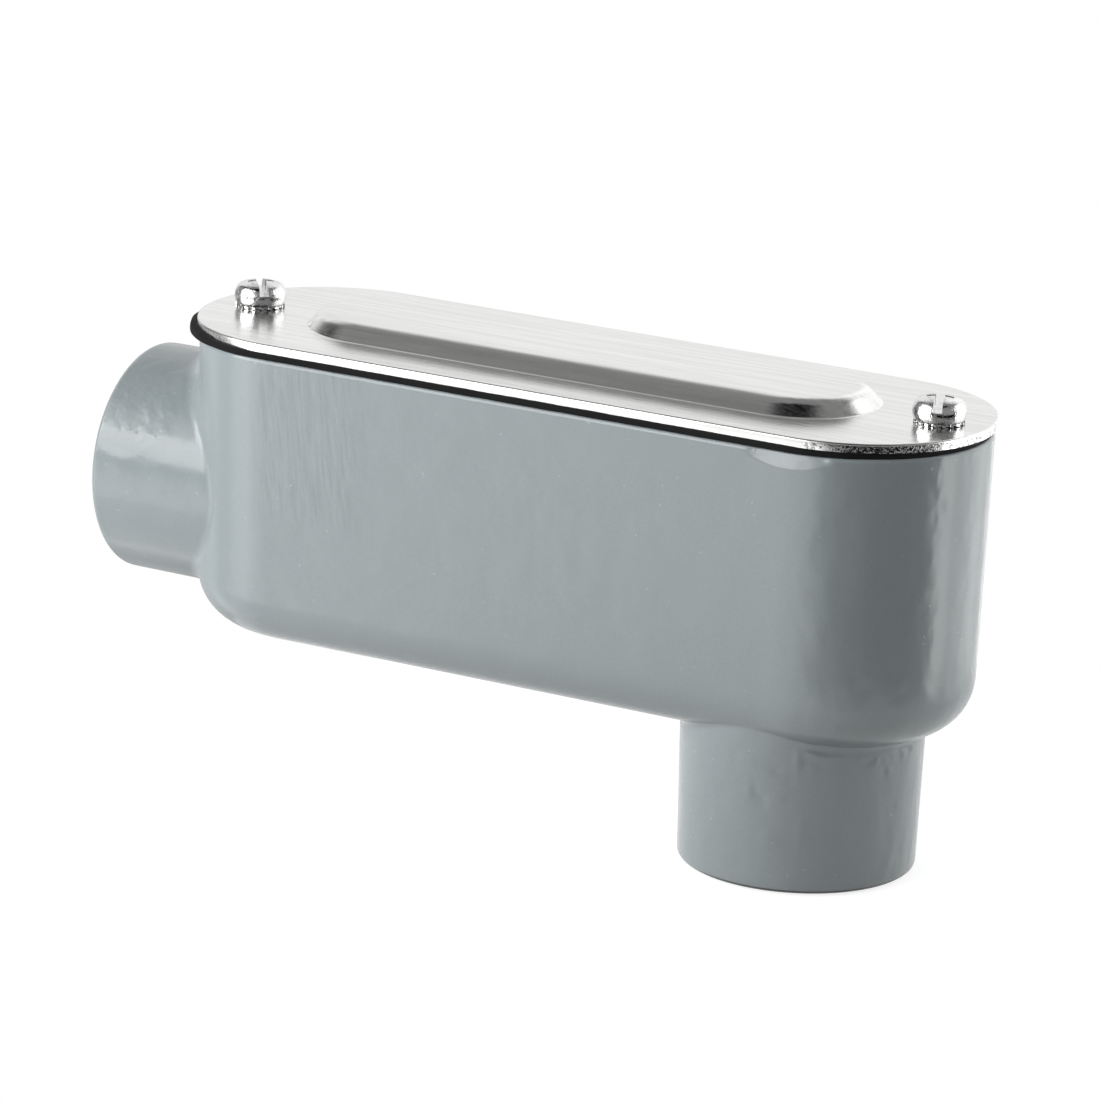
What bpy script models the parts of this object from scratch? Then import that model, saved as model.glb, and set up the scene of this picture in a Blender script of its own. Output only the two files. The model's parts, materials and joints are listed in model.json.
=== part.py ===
"""LB conduit body: a cast box with a hub on its end and a hub on its back, and a screwed cover.

Metres, with +Z up. The origin is the centre of the down hub's mouth. The box lies along X,
its end hub points to -X, the down hub points to -Z and the cover faces +Z.
"""

import math

import bpy
import bmesh
import numpy as np

# Pipe hubs. Each bore is a taper-threaded socket, kept smooth here at the thread's mean size.
BORE_RADIUS = 0.0129
BORE_TAPER = 1 / 32
BORE_CHAMFER = 0.0010
DOWN_HUB_WALL = 0.0041
DOWN_HUB_LENGTH = 0.0213
DOWN_HUB_DRAFT = 0.021
END_HUB_WALL = 0.0040
END_HUB_REACH = 0.0115
END_HUB_DRAFT = 0.004
HUB_EDGE_ROUND = 0.0009

# Smooth stop at the bottom of each bore, which the pipe butts against and wires slide over.
BUSHING_LIP = 0.0020
BUSHING_THICKNESS = 0.0040
BUSHING_ROUND = 0.0012

# Cast box. Its plan is a stadium, and its walls lean in towards the underside.
BOX_LENGTH = 0.1237
BOX_SIDE_MARGIN = 0.0029
BOX_BACK_MARGIN = 0.0080
BOX_DRAFT = 0.017
BOX_CORNER = 0.0078
BELOW_END_HUB = 0.0032
ABOVE_END_HUB = 0.0060
WALL = 0.0026
FLOOR = 0.0026
RIM_ROUND = 0.0004
DOWN_HUB_BLEND = 0.0018
END_HUB_BLEND = 0.0030

# Stamped cover: a flat sheet with a raised pan.
PLATE_THICKNESS = 0.0013
PLATE_EDGE_ROUND = 0.0003
PLATE_END_OVERHANG = 0.0005
PLATE_SIDE_INSET = 0.0002
PAN_SIDE_MARGIN = 0.0084
PAN_END_MARGIN = 0.0169
PAN_HEIGHT = 0.0023
PAN_SLOPE = math.radians(45)
PAN_FOOT_ROUND = 0.0006
PAN_SHOULDER_ROUND = 0.0030

# Gasket, which sits a little towards the end hub.
GASKET_THICKNESS = 0.0009
GASKET_LEFT_OVERHANG = 0.0018
GASKET_RIGHT_INSET = 0.0003

# Cover screws and their external-tooth lock washers.
SCREW_RADIUS = 0.0020
SCREW_LENGTH = 0.0100
SCREW_TIP_CHAMFER = 0.0005
SCREW_INSET = 0.0072
HEAD_RADIUS = 0.0038
HEAD_SIDE_HEIGHT = 0.0025
HEAD_DOME = 0.0006
HEAD_BARREL = 0.0006
HEAD_WAIST = 0.4
SLOT_WIDTH = 0.0012
SLOT_DEPTH = 0.0017
CROSS_LENGTH = 0.0042
CROSS_WIDTH = 0.0009
CROSS_DEPTH = 0.0015
LEFT_SLOT_TURN = math.radians(-50)
RIGHT_SLOT_TURN = math.radians(-70)
WASHER_RADIUS = 0.0036
WASHER_THICKNESS = 0.0004
WASHER_TOOTH = 0.0007
WASHER_TEETH = 18
WASHER_TWIST = 0.00012

# Bosses inside the box, which take the cover screws.
BOSS_WALL = 0.0020
BOSS_TAPER = 0.0020
HOLE_BELOW_SCREW = 0.0010
BOSS_BELOW_HOLE = 0.0025

# Clearances.
SEAT_GAP = 0.0002
HOLE_GAP = 0.0003

# How finely curves are divided, and how far cutting tools run past what they cut.
STADIUM_STEPS = 20
HUB_STEPS = 40
HEAD_STEPS = 24
HEAD_LEVELS = 5
CORNER_STEPS = 6
ROUND_STEPS = 3
OVERCUT = 0.0010
BLEND_BITE = 0.00008

UP = np.array([0.0, 0.0, 1.0])


class Tub:
    """A trough with a stadium plan, leaning walls, a flat underside and a round bottom corner.

    Its skin is one profile, given by the distance from the spine and the height, carried
    round a straight spine that lies along X.
    """

    def __init__(self, left, right, half_width, top, bottom, corner):
        self.spine = (left + half_width, right - half_width)
        self.half_width = half_width
        self.top = top
        self.bottom = bottom
        self.corner = corner
        self.lean = math.hypot(1, BOX_DRAFT)
        corner_height = bottom + corner
        self.corner_centre = (self.width_at(corner_height) - corner * self.lean, corner_height)

    def width_at(self, height):
        """Half width of the leaning wall at a height."""
        return self.half_width - BOX_DRAFT * (self.top - height)

    def offset_from_spine(self, points):
        """Horizontal vector from the nearest point of the spine to each point."""
        nearest = np.clip(points[..., 0], *self.spine)
        offset = points.copy()
        offset[..., 0] -= nearest
        offset[..., 2] = 0
        return offset

    def distance(self, points):
        """Distance from the skin, positive outside: a shrunk corner grown by its round."""
        across = np.linalg.norm(self.offset_from_spine(points), axis=-1)
        height = points[..., 2]
        wall = (across - self.width_at(height)) / self.lean + self.corner
        floor = self.bottom - height + self.corner
        outside = np.hypot(np.maximum(wall, 0), np.maximum(floor, 0))
        inside = np.minimum(np.maximum(wall, floor), 0)
        return outside + inside - self.corner

    def normal(self, points):
        """Outward direction at each point: the slope of the distance, by small steps."""
        step = 1e-6
        slopes = []
        for axis in np.eye(3):
            slopes.append(self.distance(points + axis * step) - self.distance(points - axis * step))
        slope = np.stack(slopes, axis=-1)
        return slope / np.linalg.norm(slope, axis=-1, keepdims=True)

    def ring(self, half_width, height):
        """One level of the skin: a stadium round the spine."""
        return stadium(self.spine, half_width, height)

    def corner_rings(self):
        """Levels from the flat underside, round the corner, to the foot of the wall."""
        centre_width, centre_height = self.corner_centre
        rings = []
        for turn in np.linspace(0, math.pi / 2 - math.atan(BOX_DRAFT), CORNER_STEPS + 1):
            width = centre_width + self.corner * math.sin(turn)
            height = centre_height - self.corner * math.cos(turn)
            rings.append(self.ring(width, height))
        return rings


class Spigot:
    """A round socket or hub: the centre of its mouth, the way in, and a straight taper."""

    def __init__(self, mouth, inward, side, radius, taper):
        self.mouth = np.array(mouth)
        self.inward = np.array(inward)
        self.side = np.array(side)
        self.other_side = np.cross(self.inward, self.side)
        self.radius = radius
        self.taper = taper

    def radius_at(self, depth):
        """Radius at a depth from the mouth."""
        return self.radius + self.taper * depth

    def outward(self):
        """Unit vectors away from the axis, one for each step round it."""
        angle = np.linspace(0, 2 * math.pi, HUB_STEPS, endpoint=False)[:, None]
        return self.side * np.cos(angle) + self.other_side * np.sin(angle)

    def ring(self, radius, depth):
        """Points round the axis, with one radius and depth or one for each point."""
        radius = np.broadcast_to(radius, HUB_STEPS)[:, None]
        depth = np.broadcast_to(depth, HUB_STEPS)[:, None]
        return self.mouth + self.inward * depth + self.outward() * radius

    def blend_rings(self, tub, ball, reach):
        """Rings of the blend that a ball leaves as it rolls round the spigot against a tub.

        At each step the ball touches the spigot, and is slid in until it touches the tub. The
        blend is the arc between the two touching points. The ball bites into the tub by a hair,
        so that the two skins cross instead of grazing. A last ring, inside, closes the end.
        """
        near = np.zeros(HUB_STEPS)
        far = np.full(HUB_STEPS, reach)
        for _ in range(40):
            middle = (near + far) / 2
            centre = self.ring(self.radius_at(middle) + ball, middle)
            clear = tub.distance(centre) > ball - BLEND_BITE
            near = np.where(clear, middle, near)
            far = np.where(clear, far, middle)
        centre = self.ring(self.radius_at(near) + ball, near)
        to_spigot = -self.outward()
        to_tub = -tub.normal(centre)
        opening = np.arccos(np.clip(np.sum(to_spigot * to_tub, axis=1), -1, 1))[:, None]
        rings = []
        for share in np.linspace(0, 1, ROUND_STEPS + 1):
            weight_spigot = np.sin((1 - share) * opening) / np.sin(opening)
            weight_tub = np.sin(share * opening) / np.sin(opening)
            rings.append(centre + ball * (weight_spigot * to_spigot + weight_tub * to_tub))
        deepest = near.max() + ball
        rings.append(self.ring(0.6 * self.radius, deepest))
        return rings


def stadium(spine, half_width, height):
    """Points of a stadium round a spine along X: two half circles joined by straight sides."""
    angle = np.linspace(-math.pi / 2, math.pi / 2, STADIUM_STEPS + 1)
    right = np.column_stack([spine[1] + half_width * np.cos(angle), half_width * np.sin(angle)])
    left = np.column_stack([spine[0] - half_width * np.cos(angle), -half_width * np.sin(angle)])
    plan = np.concatenate([right, left])
    return np.column_stack([plan, np.full(len(plan), height)])


def circle(radius, height, steps):
    """Points of a level circle about the Z axis, starting half a step off the X axis."""
    angle = np.linspace(0, 2 * math.pi, steps, endpoint=False) + math.pi / steps
    return np.column_stack([radius * np.cos(angle), radius * np.sin(angle), np.full(steps, height)])


def arc(centre, radius, start, end, steps=ROUND_STEPS):
    """Points of a flat arc about a centre, from one angle to another."""
    angle = np.linspace(start, end, steps + 1)
    return [(centre[0] + radius * math.cos(a), centre[1] + radius * math.sin(a)) for a in angle]


def add_object(name, mesh, material=None, location=(0, 0, 0), turn=0.0, parent=None):
    """Put a mesh in the scene as a named object."""
    piece = bpy.data.objects.new(name, mesh)
    bpy.context.scene.collection.objects.link(piece)
    piece.location = location
    piece.rotation_euler = (0, 0, turn)
    piece.parent = parent
    if material is not None and not mesh.materials:
        mesh.materials.append(material)
    return piece


def skin_mesh(name, rings, loop=False):
    """Mesh that joins each ring to the next, and is closed by end faces or back to the start."""
    count = len(rings[0])
    levels = len(rings)
    faces = []
    for level in range(levels if loop else levels - 1):
        here = level * count
        there = (level + 1) % levels * count
        for i in range(count):
            j = (i + 1) % count
            faces.append((here + i, here + j, there + j, there + i))
    if not loop:
        faces.append(tuple(range(count)))
        faces.append(tuple(range((levels - 1) * count, levels * count)))
    mesh = bpy.data.meshes.new(name)
    mesh.from_pydata([tuple(point) for point in np.concatenate(rings)], [], faces)
    work = bmesh.new()
    work.from_mesh(mesh)
    bmesh.ops.recalc_face_normals(work, faces=work.faces)
    work.to_mesh(mesh)
    work.free()
    mesh.shade_smooth()
    mesh.set_sharp_from_angle(angle=math.radians(30))
    return mesh


def add_tool(name, mesh, location=(0, 0, 0), turn=0.0, parent=None):
    """A shape that is only added to or cut from other pieces."""
    tool = add_object(name, mesh, location=location, turn=turn, parent=parent)
    tool.hide_render = True
    tool.display_type = "WIRE"
    return tool


def combine(piece, tool, operation):
    """Add a tool to a piece, or cut it away."""
    boolean = piece.modifiers.new(tool.name, "BOOLEAN")
    boolean.operation = operation
    boolean.object = tool
    boolean.solver = "EXACT"


def principled(name, colour, roughness, metallic):
    """A plain material of one colour."""
    material = bpy.data.materials.new(name)
    material.use_nodes = True
    shader = material.node_tree.nodes["Principled BSDF"]
    shader.inputs["Base Color"].default_value = (*colour, 1)
    shader.inputs["Roughness"].default_value = roughness
    shader.inputs["Metallic"].default_value = metallic
    material.diffuse_color = (*colour, 1)
    return material


# Sizes that follow from the driving dimensions.
DOWN_HUB_RADIUS = BORE_RADIUS + DOWN_HUB_WALL
END_HUB_RADIUS = BORE_RADIUS + END_HUB_WALL
DOWN_HUB_TOP_RADIUS = DOWN_HUB_RADIUS + DOWN_HUB_DRAFT * DOWN_HUB_LENGTH
BOX_HALF_WIDTH = max(DOWN_HUB_TOP_RADIUS, END_HUB_RADIUS) + BOX_SIDE_MARGIN
BOX_RIGHT = DOWN_HUB_RADIUS + BOX_BACK_MARGIN
BOX_LEFT = BOX_RIGHT - BOX_LENGTH
UNDERSIDE_Z = DOWN_HUB_LENGTH
END_HUB_Z = UNDERSIDE_Z + BELOW_END_HUB + END_HUB_RADIUS
RIM_Z = END_HUB_Z + END_HUB_RADIUS + ABOVE_END_HUB
END_HUB_MOUTH_X = BOX_LEFT - END_HUB_REACH

GASKET_Z = RIM_Z + SEAT_GAP
PLATE_Z = GASKET_Z + GASKET_THICKNESS + SEAT_GAP
PLATE_TOP_Z = PLATE_Z + PLATE_THICKNESS
WASHER_Z = PLATE_TOP_Z + SEAT_GAP + WASHER_TWIST
HEAD_Z = WASHER_Z + WASHER_THICKNESS + WASHER_TWIST + SEAT_GAP

PLATE_LEFT = BOX_LEFT - PLATE_END_OVERHANG
PLATE_RIGHT = BOX_RIGHT + PLATE_END_OVERHANG
PLATE_HALF_WIDTH = BOX_HALF_WIDTH - PLATE_SIDE_INSET
LEFT_SCREW_X = PLATE_LEFT + SCREW_INSET
RIGHT_SCREW_X = PLATE_RIGHT - SCREW_INSET
HEAD_HEIGHT = HEAD_SIDE_HEIGHT + HEAD_DOME
HOLE_RADIUS = SCREW_RADIUS + HOLE_GAP
HOLE_BOTTOM_Z = HEAD_Z - SCREW_LENGTH - HOLE_BELOW_SCREW
BOSS_BOTTOM_Z = HOLE_BOTTOM_Z - BOSS_BELOW_HOLE
BOSS_RADIUS = HOLE_RADIUS + BOSS_WALL


def make_boss_tool(name, screw_x, outward):
    """The boss that stays in the box: round on its inner side, straight out to the end wall."""
    run_out = 2 * BOSS_RADIUS + SCREW_INSET
    levels = [
        (BOSS_RADIUS - BOSS_TAPER, BOSS_BOTTOM_Z),
        (BOSS_RADIUS, BOSS_BOTTOM_Z + BOSS_TAPER),
        (BOSS_RADIUS, RIM_Z + 3 * OVERCUT),
    ]
    rings = []
    for radius, height in levels:
        ends = sorted((screw_x, screw_x + outward * run_out))
        rings.append(stadium(ends, radius, height))
    return add_tool(name, skin_mesh(name, rings))


def make_cavity_tool(cavity):
    """What the core leaves empty in the box, apart from the two screw bosses."""
    rings = cavity.corner_rings()
    top = RIM_Z + OVERCUT
    rings.append(cavity.ring(cavity.width_at(top), top))
    tool = add_tool("cavity_tool", skin_mesh("cavity_tool", rings))
    combine(tool, make_boss_tool("left_boss_tool", LEFT_SCREW_X, -1), "DIFFERENCE")
    combine(tool, make_boss_tool("right_boss_tool", RIGHT_SCREW_X, 1), "DIFFERENCE")
    return tool


def make_hub_tool(name, hub, tub, ball, reach):
    """Outside of a hub, from its rounded mouth to the blend where it joins the box."""
    edge = arc((hub.radius - HUB_EDGE_ROUND, HUB_EDGE_ROUND), HUB_EDGE_ROUND, -math.pi / 2, 0)
    rings = [hub.ring(radius, depth) for radius, depth in edge]
    rings += hub.blend_rings(tub, ball, reach)
    return add_tool(name, skin_mesh(name, rings))


def make_bore_tool(name, hub, cavity, wall_depth, reach):
    """Inside of a hub: chamfer, tapered socket, shoulder and the rounded throat of the stop."""
    shoulder = wall_depth - BUSHING_THICKNESS
    socket_end = BORE_RADIUS - BORE_TAPER * shoulder
    throat = Spigot(hub.mouth, hub.inward, hub.side, socket_end - BUSHING_LIP, 0)
    ball = min(BUSHING_ROUND, 0.45 * BUSHING_THICKNESS, 0.8 * BUSHING_LIP)
    profile = [
        (BORE_RADIUS + BORE_CHAMFER + OVERCUT, -OVERCUT),
        (BORE_RADIUS, BORE_CHAMFER),
        (socket_end, shoulder),
    ]
    profile += arc((throat.radius + ball, shoulder + ball), ball, -math.pi / 2, -math.pi)
    rings = [hub.ring(radius, depth) for radius, depth in profile]
    rings += throat.blend_rings(cavity, ball, reach)
    return add_tool(name, skin_mesh(name, rings))


def make_passage(name, screw_x):
    """Hole for a cover screw, through the plate and the gasket and down into its boss."""
    levels = (HOLE_BOTTOM_Z, PLATE_TOP_Z + OVERCUT)
    rings = [circle(HOLE_RADIUS, height, HEAD_STEPS) for height in levels]
    return add_tool(name, skin_mesh(name, rings), location=(screw_x, 0, 0))


def make_housing(passages, material):
    """The casting: box and hubs outside, cavity, bosses, sockets and stops inside."""
    box = Tub(BOX_LEFT, BOX_RIGHT, BOX_HALF_WIDTH, RIM_Z, UNDERSIDE_Z, BOX_CORNER)
    cavity = Tub(BOX_LEFT + WALL, BOX_RIGHT - WALL, BOX_HALF_WIDTH - WALL, RIM_Z,
                 UNDERSIDE_Z + FLOOR, max(BOX_CORNER - WALL, WALL))
    down_hub = Spigot((0, 0, 0), (0, 0, 1), (1, 0, 0), DOWN_HUB_RADIUS, DOWN_HUB_DRAFT)
    end_hub = Spigot((END_HUB_MOUTH_X, 0, END_HUB_Z), (1, 0, 0), (0, 1, 0), END_HUB_RADIUS,
                     END_HUB_DRAFT)
    rings = box.corner_rings()
    shoulder = RIM_Z - RIM_ROUND
    width = box.width_at(shoulder)
    for across, height in arc((width - RIM_ROUND, shoulder), RIM_ROUND, 0, math.pi / 2):
        rings.append(box.ring(across, height))
    housing = add_object("housing", skin_mesh("housing", rings), material)

    down_reach = END_HUB_Z
    end_reach = box.spine[0] - END_HUB_MOUTH_X
    end_wall = cavity.spine[0] - cavity.width_at(END_HUB_Z) - END_HUB_MOUTH_X
    tools = [
        (make_hub_tool("down_hub_tool", down_hub, box, DOWN_HUB_BLEND, down_reach), "UNION"),
        (make_hub_tool("end_hub_tool", end_hub, box, END_HUB_BLEND, end_reach), "UNION"),
        (make_cavity_tool(cavity), "DIFFERENCE"),
        (make_bore_tool("down_bore_tool", down_hub, cavity, cavity.bottom, down_reach),
         "DIFFERENCE"),
        (make_bore_tool("end_bore_tool", end_hub, cavity, end_wall, end_reach), "DIFFERENCE"),
    ]
    for tool, operation in tools:
        combine(housing, tool, operation)
    for passage in passages:
        combine(housing, passage, "DIFFERENCE")
    return housing


def make_gasket(passages, material):
    """Flat seal, die cut to the plan of the box."""
    half_width = BOX_HALF_WIDTH
    left = BOX_LEFT - GASKET_LEFT_OVERHANG
    right = BOX_RIGHT - GASKET_RIGHT_INSET
    spine = (left + half_width, right - half_width)
    rings = [stadium(spine, half_width, height) for height in (0, GASKET_THICKNESS)]
    gasket = add_object("cover_gasket", skin_mesh("cover_gasket", rings), material,
                        location=(0, 0, GASKET_Z))
    for passage in passages:
        combine(gasket, passage, "DIFFERENCE")
    return gasket


def pan_profile(foot_round, shoulder_round, height):
    """Rise of the pan, as inward distance from its foot and height above the flat.

    An arc turns up out of the flat, a straight slope follows, and an arc turns in to the top.
    """
    rise = foot_round + shoulder_round
    bend = math.tan(PAN_SLOPE / 2)
    run = rise * bend + height / math.tan(PAN_SLOPE)
    foot = arc((0, foot_round), foot_round, -math.pi / 2, PAN_SLOPE - math.pi / 2)
    shoulder = arc((run, height - shoulder_round), shoulder_round, math.pi / 2 + PAN_SLOPE,
                   math.pi / 2)
    return foot + shoulder


def make_plate(passages, material):
    """Cover: the sheet keeps its thickness round the edge, the flat and the raised pan."""
    spine = (PLATE_LEFT + PLATE_HALF_WIDTH, PLATE_RIGHT - PLATE_HALF_WIDTH)
    pan_half_width = PLATE_HALF_WIDTH - PAN_SIDE_MARGIN
    pan_spine = (PLATE_LEFT + PAN_END_MARGIN + pan_half_width,
                 PLATE_RIGHT - PAN_END_MARGIN - pan_half_width)
    upper = pan_profile(PAN_FOOT_ROUND, PAN_SHOULDER_ROUND, PAN_HEIGHT)
    lower = pan_profile(PAN_FOOT_ROUND + PLATE_THICKNESS,
                        max(PAN_SHOULDER_ROUND - PLATE_THICKNESS, PAN_FOOT_ROUND), PAN_HEIGHT)
    rings = []
    for inward, height in reversed(lower):
        rings.append(stadium(pan_spine, pan_half_width - inward, height))
    rings.append(stadium(spine, PLATE_HALF_WIDTH, 0))
    edge = arc((PLATE_HALF_WIDTH - PLATE_EDGE_ROUND, PLATE_THICKNESS - PLATE_EDGE_ROUND),
               PLATE_EDGE_ROUND, 0, math.pi / 2)
    for across, height in edge:
        rings.append(stadium(spine, across, height))
    for inward, height in upper:
        rings.append(stadium(pan_spine, pan_half_width - inward, PLATE_THICKNESS + height))
    plate = add_object("cover_plate", skin_mesh("cover_plate", rings), material,
                       location=(0, 0, PLATE_Z))
    for passage in passages:
        combine(plate, passage, "DIFFERENCE")
    return plate


def head_profile():
    """Side and dome of a screw's head, as radius and height over its underside.

    The side is a barrel: its radius falls off with the square of the way from the waist, by
    HEAD_BARREL at the top edge. The dome is part of a ball, and stops at a small flat.
    """
    share = np.linspace(0, 1, HEAD_LEVELS + 1)
    side = HEAD_RADIUS - HEAD_BARREL * ((share - HEAD_WAIST) / (1 - HEAD_WAIST)) ** 2
    edge = side[-1]
    ball = (edge ** 2 + HEAD_DOME ** 2) / (2 * HEAD_DOME)
    swing = math.asin(edge / ball)
    dome = arc((0, HEAD_HEIGHT - ball), ball, math.pi / 2 - swing, math.pi / 2, HEAD_LEVELS)
    return list(zip(side, share * HEAD_SIDE_HEIGHT)) + dome[1:-1]


def screw_mesh():
    """Turned blank of a cover screw, with the underside of its head at height 0."""
    profile = [
        (SCREW_RADIUS - SCREW_TIP_CHAMFER, -SCREW_LENGTH),
        (SCREW_RADIUS, SCREW_TIP_CHAMFER - SCREW_LENGTH),
        (SCREW_RADIUS, 0),
    ]
    rings = [circle(radius, height, HEAD_STEPS) for radius, height in profile + head_profile()]
    return skin_mesh("cover_screw", rings)


def bar_mesh(name, length, width, depth, taper):
    """Straight cutter along X that runs down from above the head and may narrow as it goes."""
    rings = []
    for height, shrink in ((HEAD_HEIGHT - depth, taper), (HEAD_HEIGHT + OVERCUT, 0)):
        x = length / 2 - shrink
        y = width / 2 - shrink / 4
        corners = ((-x, -y), (x, -y), (x, y), (-x, y))
        rings.append(np.array([(*corner, height) for corner in corners]))
    return skin_mesh(name, rings)


def make_screw(side, screw_x, slot_turn, mesh, material):
    """Barrel-headed screw with a slot across its head and a shorter cross wing."""
    screw = add_object(f"cover_screw_{side}", mesh, material, location=(screw_x, 0, HEAD_Z),
                       turn=slot_turn)
    slot = bar_mesh("slot", 2 * (HEAD_RADIUS + OVERCUT), SLOT_WIDTH, SLOT_DEPTH, 0)
    wing = bar_mesh("wing", CROSS_LENGTH, CROSS_WIDTH, CROSS_DEPTH, CROSS_WIDTH / 2)
    combine(screw, add_tool(f"slot_tool_{side}", slot, parent=screw), "DIFFERENCE")
    wing_tool = add_tool(f"wing_tool_{side}", wing, turn=math.pi / 2, parent=screw)
    combine(screw, wing_tool, "DIFFERENCE")
    return screw


def washer_mesh():
    """Lock washer: a flat ring whose outer edge is cut into teeth, each twisted a little."""
    pitch = 2 * math.pi / WASHER_TEETH
    root = WASHER_RADIUS - WASHER_TOOTH
    corners = ((0.0, root, 0), (0.2, WASHER_RADIUS, 1), (0.6, WASHER_RADIUS, -1), (0.8, root, 0))
    inner = []
    outer = []
    for tooth in range(WASHER_TEETH):
        for share, radius, twist in corners:
            angle = (tooth + share) * pitch
            direction = np.array([math.cos(angle), math.sin(angle), 0])
            inner.append(direction * HOLE_RADIUS)
            outer.append(direction * radius + UP * twist * WASHER_TWIST)
    inner = np.array(inner)
    outer = np.array(outer)
    lift = UP * WASHER_THICKNESS
    return skin_mesh("lock_washer", [inner, outer, outer + lift, inner + lift], loop=True)


def main():
    for old in list(bpy.data.objects):
        bpy.data.objects.remove(old, do_unlink=True)
    paint = principled("grey_paint", (0.36, 0.40, 0.41), 0.3, 0.0)
    rubber = principled("black_rubber", (0.03, 0.03, 0.03), 0.8, 0.0)
    sheet = principled("brushed_sheet", (0.80, 0.80, 0.79), 0.3, 1.0)
    plated = principled("plated_steel", (0.70, 0.70, 0.70), 0.2, 1.0)

    passages = [make_passage("left_passage", LEFT_SCREW_X),
                make_passage("right_passage", RIGHT_SCREW_X)]
    make_housing(passages, paint)
    make_gasket(passages, rubber)
    make_plate(passages, sheet)
    screw = screw_mesh()
    washer = washer_mesh()
    for side, screw_x, slot_turn in (("left", LEFT_SCREW_X, LEFT_SLOT_TURN),
                                     ("right", RIGHT_SCREW_X, RIGHT_SLOT_TURN)):
        make_screw(side, screw_x, slot_turn, screw, plated)
        add_object(f"lock_washer_{side}", washer, plated, location=(screw_x, 0, WASHER_Z))


main()
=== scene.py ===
"""Looks of a cast LB conduit body with a screwed sheet cover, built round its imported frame.

Metres, with +Z up. The origin is the centre of the down hub's mouth. The box lies along X,
its end hub points to -X, the down hub points to -Z and the cover faces +Z.
"""

import json
import math

import bmesh
import bpy
import numpy as np
from bpy.props import FloatProperty, FloatVectorProperty, IntProperty, PointerProperty
from mathutils import Matrix, Vector

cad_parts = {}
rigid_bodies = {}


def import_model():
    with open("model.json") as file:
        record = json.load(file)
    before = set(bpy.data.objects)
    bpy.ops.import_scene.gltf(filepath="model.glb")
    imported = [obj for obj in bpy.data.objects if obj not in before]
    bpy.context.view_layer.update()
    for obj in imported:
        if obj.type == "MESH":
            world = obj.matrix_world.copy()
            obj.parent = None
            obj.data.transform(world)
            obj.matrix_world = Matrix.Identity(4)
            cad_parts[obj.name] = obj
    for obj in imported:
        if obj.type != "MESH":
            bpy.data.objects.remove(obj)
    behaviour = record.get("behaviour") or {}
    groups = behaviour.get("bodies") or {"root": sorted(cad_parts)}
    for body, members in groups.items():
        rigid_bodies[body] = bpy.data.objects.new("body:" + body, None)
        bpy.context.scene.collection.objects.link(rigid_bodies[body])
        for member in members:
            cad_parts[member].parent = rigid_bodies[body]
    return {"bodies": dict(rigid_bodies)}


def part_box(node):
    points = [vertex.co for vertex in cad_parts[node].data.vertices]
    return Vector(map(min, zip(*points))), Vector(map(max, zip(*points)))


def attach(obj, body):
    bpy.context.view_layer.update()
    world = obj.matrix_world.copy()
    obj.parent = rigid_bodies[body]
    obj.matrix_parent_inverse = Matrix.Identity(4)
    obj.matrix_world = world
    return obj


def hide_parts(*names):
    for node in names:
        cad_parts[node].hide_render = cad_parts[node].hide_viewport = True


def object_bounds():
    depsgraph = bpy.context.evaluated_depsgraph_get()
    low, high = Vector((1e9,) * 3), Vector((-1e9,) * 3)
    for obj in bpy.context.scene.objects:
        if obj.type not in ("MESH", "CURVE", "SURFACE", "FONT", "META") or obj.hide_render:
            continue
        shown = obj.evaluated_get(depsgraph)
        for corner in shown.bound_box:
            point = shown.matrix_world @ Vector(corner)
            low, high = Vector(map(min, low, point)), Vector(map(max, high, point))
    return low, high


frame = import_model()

bl_info = {
    "name": "LB Conduit Body",
    "version": (1, 0, 0),
    "blender": (4, 5, 0),
    "location": "View3D > Sidebar > Conduit",
    "description": "Builds a cast conduit body with its cover, gasket, screws and lock washers",
    "category": "Add Mesh",
}

CAD_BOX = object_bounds()
BODY = sorted(frame["bodies"])[0]
HOUSING_LOW, HOUSING_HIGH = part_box("housing")
GASKET_LOW, GASKET_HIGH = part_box("cover_gasket")
PLATE_LOW, PLATE_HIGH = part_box("cover_plate")
SIDES = ("left", "right")
SCREW_BOXES = {side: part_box(f"cover_screw_{side}") for side in SIDES}
SCREW_X = {side: (low.x + high.x) / 2 for side, (low, high) in SCREW_BOXES.items()}

# How far a cutter stands out of what it cuts, how deep a blend bites into its tub, how far the
# thread stays clear of the bore's chamfer, and the bevel on the edges of the screws.
OVERCUT = 0.0010
BLEND_BITE = 0.00002
CHAMFER_GAP = 0.0002
WORN_EDGE = 0.00009

# Steps round each hub and along it, and round the ends and along the sides of each plan.
DOWN_HUB_STEPS = (272, 64)
END_HUB_STEPS = (200, 32)
BOX_PLAN = (112, 110)
CAVITY_PLAN = (64, 2)
BOSS_PLAN = (24, 1)
GASKET_PLAN = (120, 160)
COVER_PLAN = (160, 380)

# Steps of the box's corner, its plain wall and its trimmed wall.
BOX_ROWS = (14, 18, 24)

# Steps round each bore, hole, screw and the floor, rows in one pitch of a thread, and steps of
# the curves of a screw's head.
BORE_STEPS = 144
HOLE_STEPS = 48
SCREW_STEPS = 72
FLOOR_STEPS = 128
THREAD_ROWS = 12
HEAD_STEPS = 22

# Steps of one tooth and its gap, the share that the tooth takes, and the share of its flank.
TOOTH_STEPS = 16
TOOTH_SHARE = 0.62
TOOTH_FLANK = 0.08


def size(label, default, description):
    """A length that the panel shows."""
    return FloatProperty(name=label, default=default, min=0.0, precision=5, unit="LENGTH",
                         description=description)


def share(label, default, description, low=0.0, high=1.0):
    """A plain number that the panel shows."""
    return FloatProperty(name=label, default=default, min=low, max=high, precision=4,
                         description=description)


def turn(label, degrees, description):
    """An angle that the panel shows."""
    return FloatProperty(name=label, default=math.radians(degrees), unit="ROTATION",
                         description=description)


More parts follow.
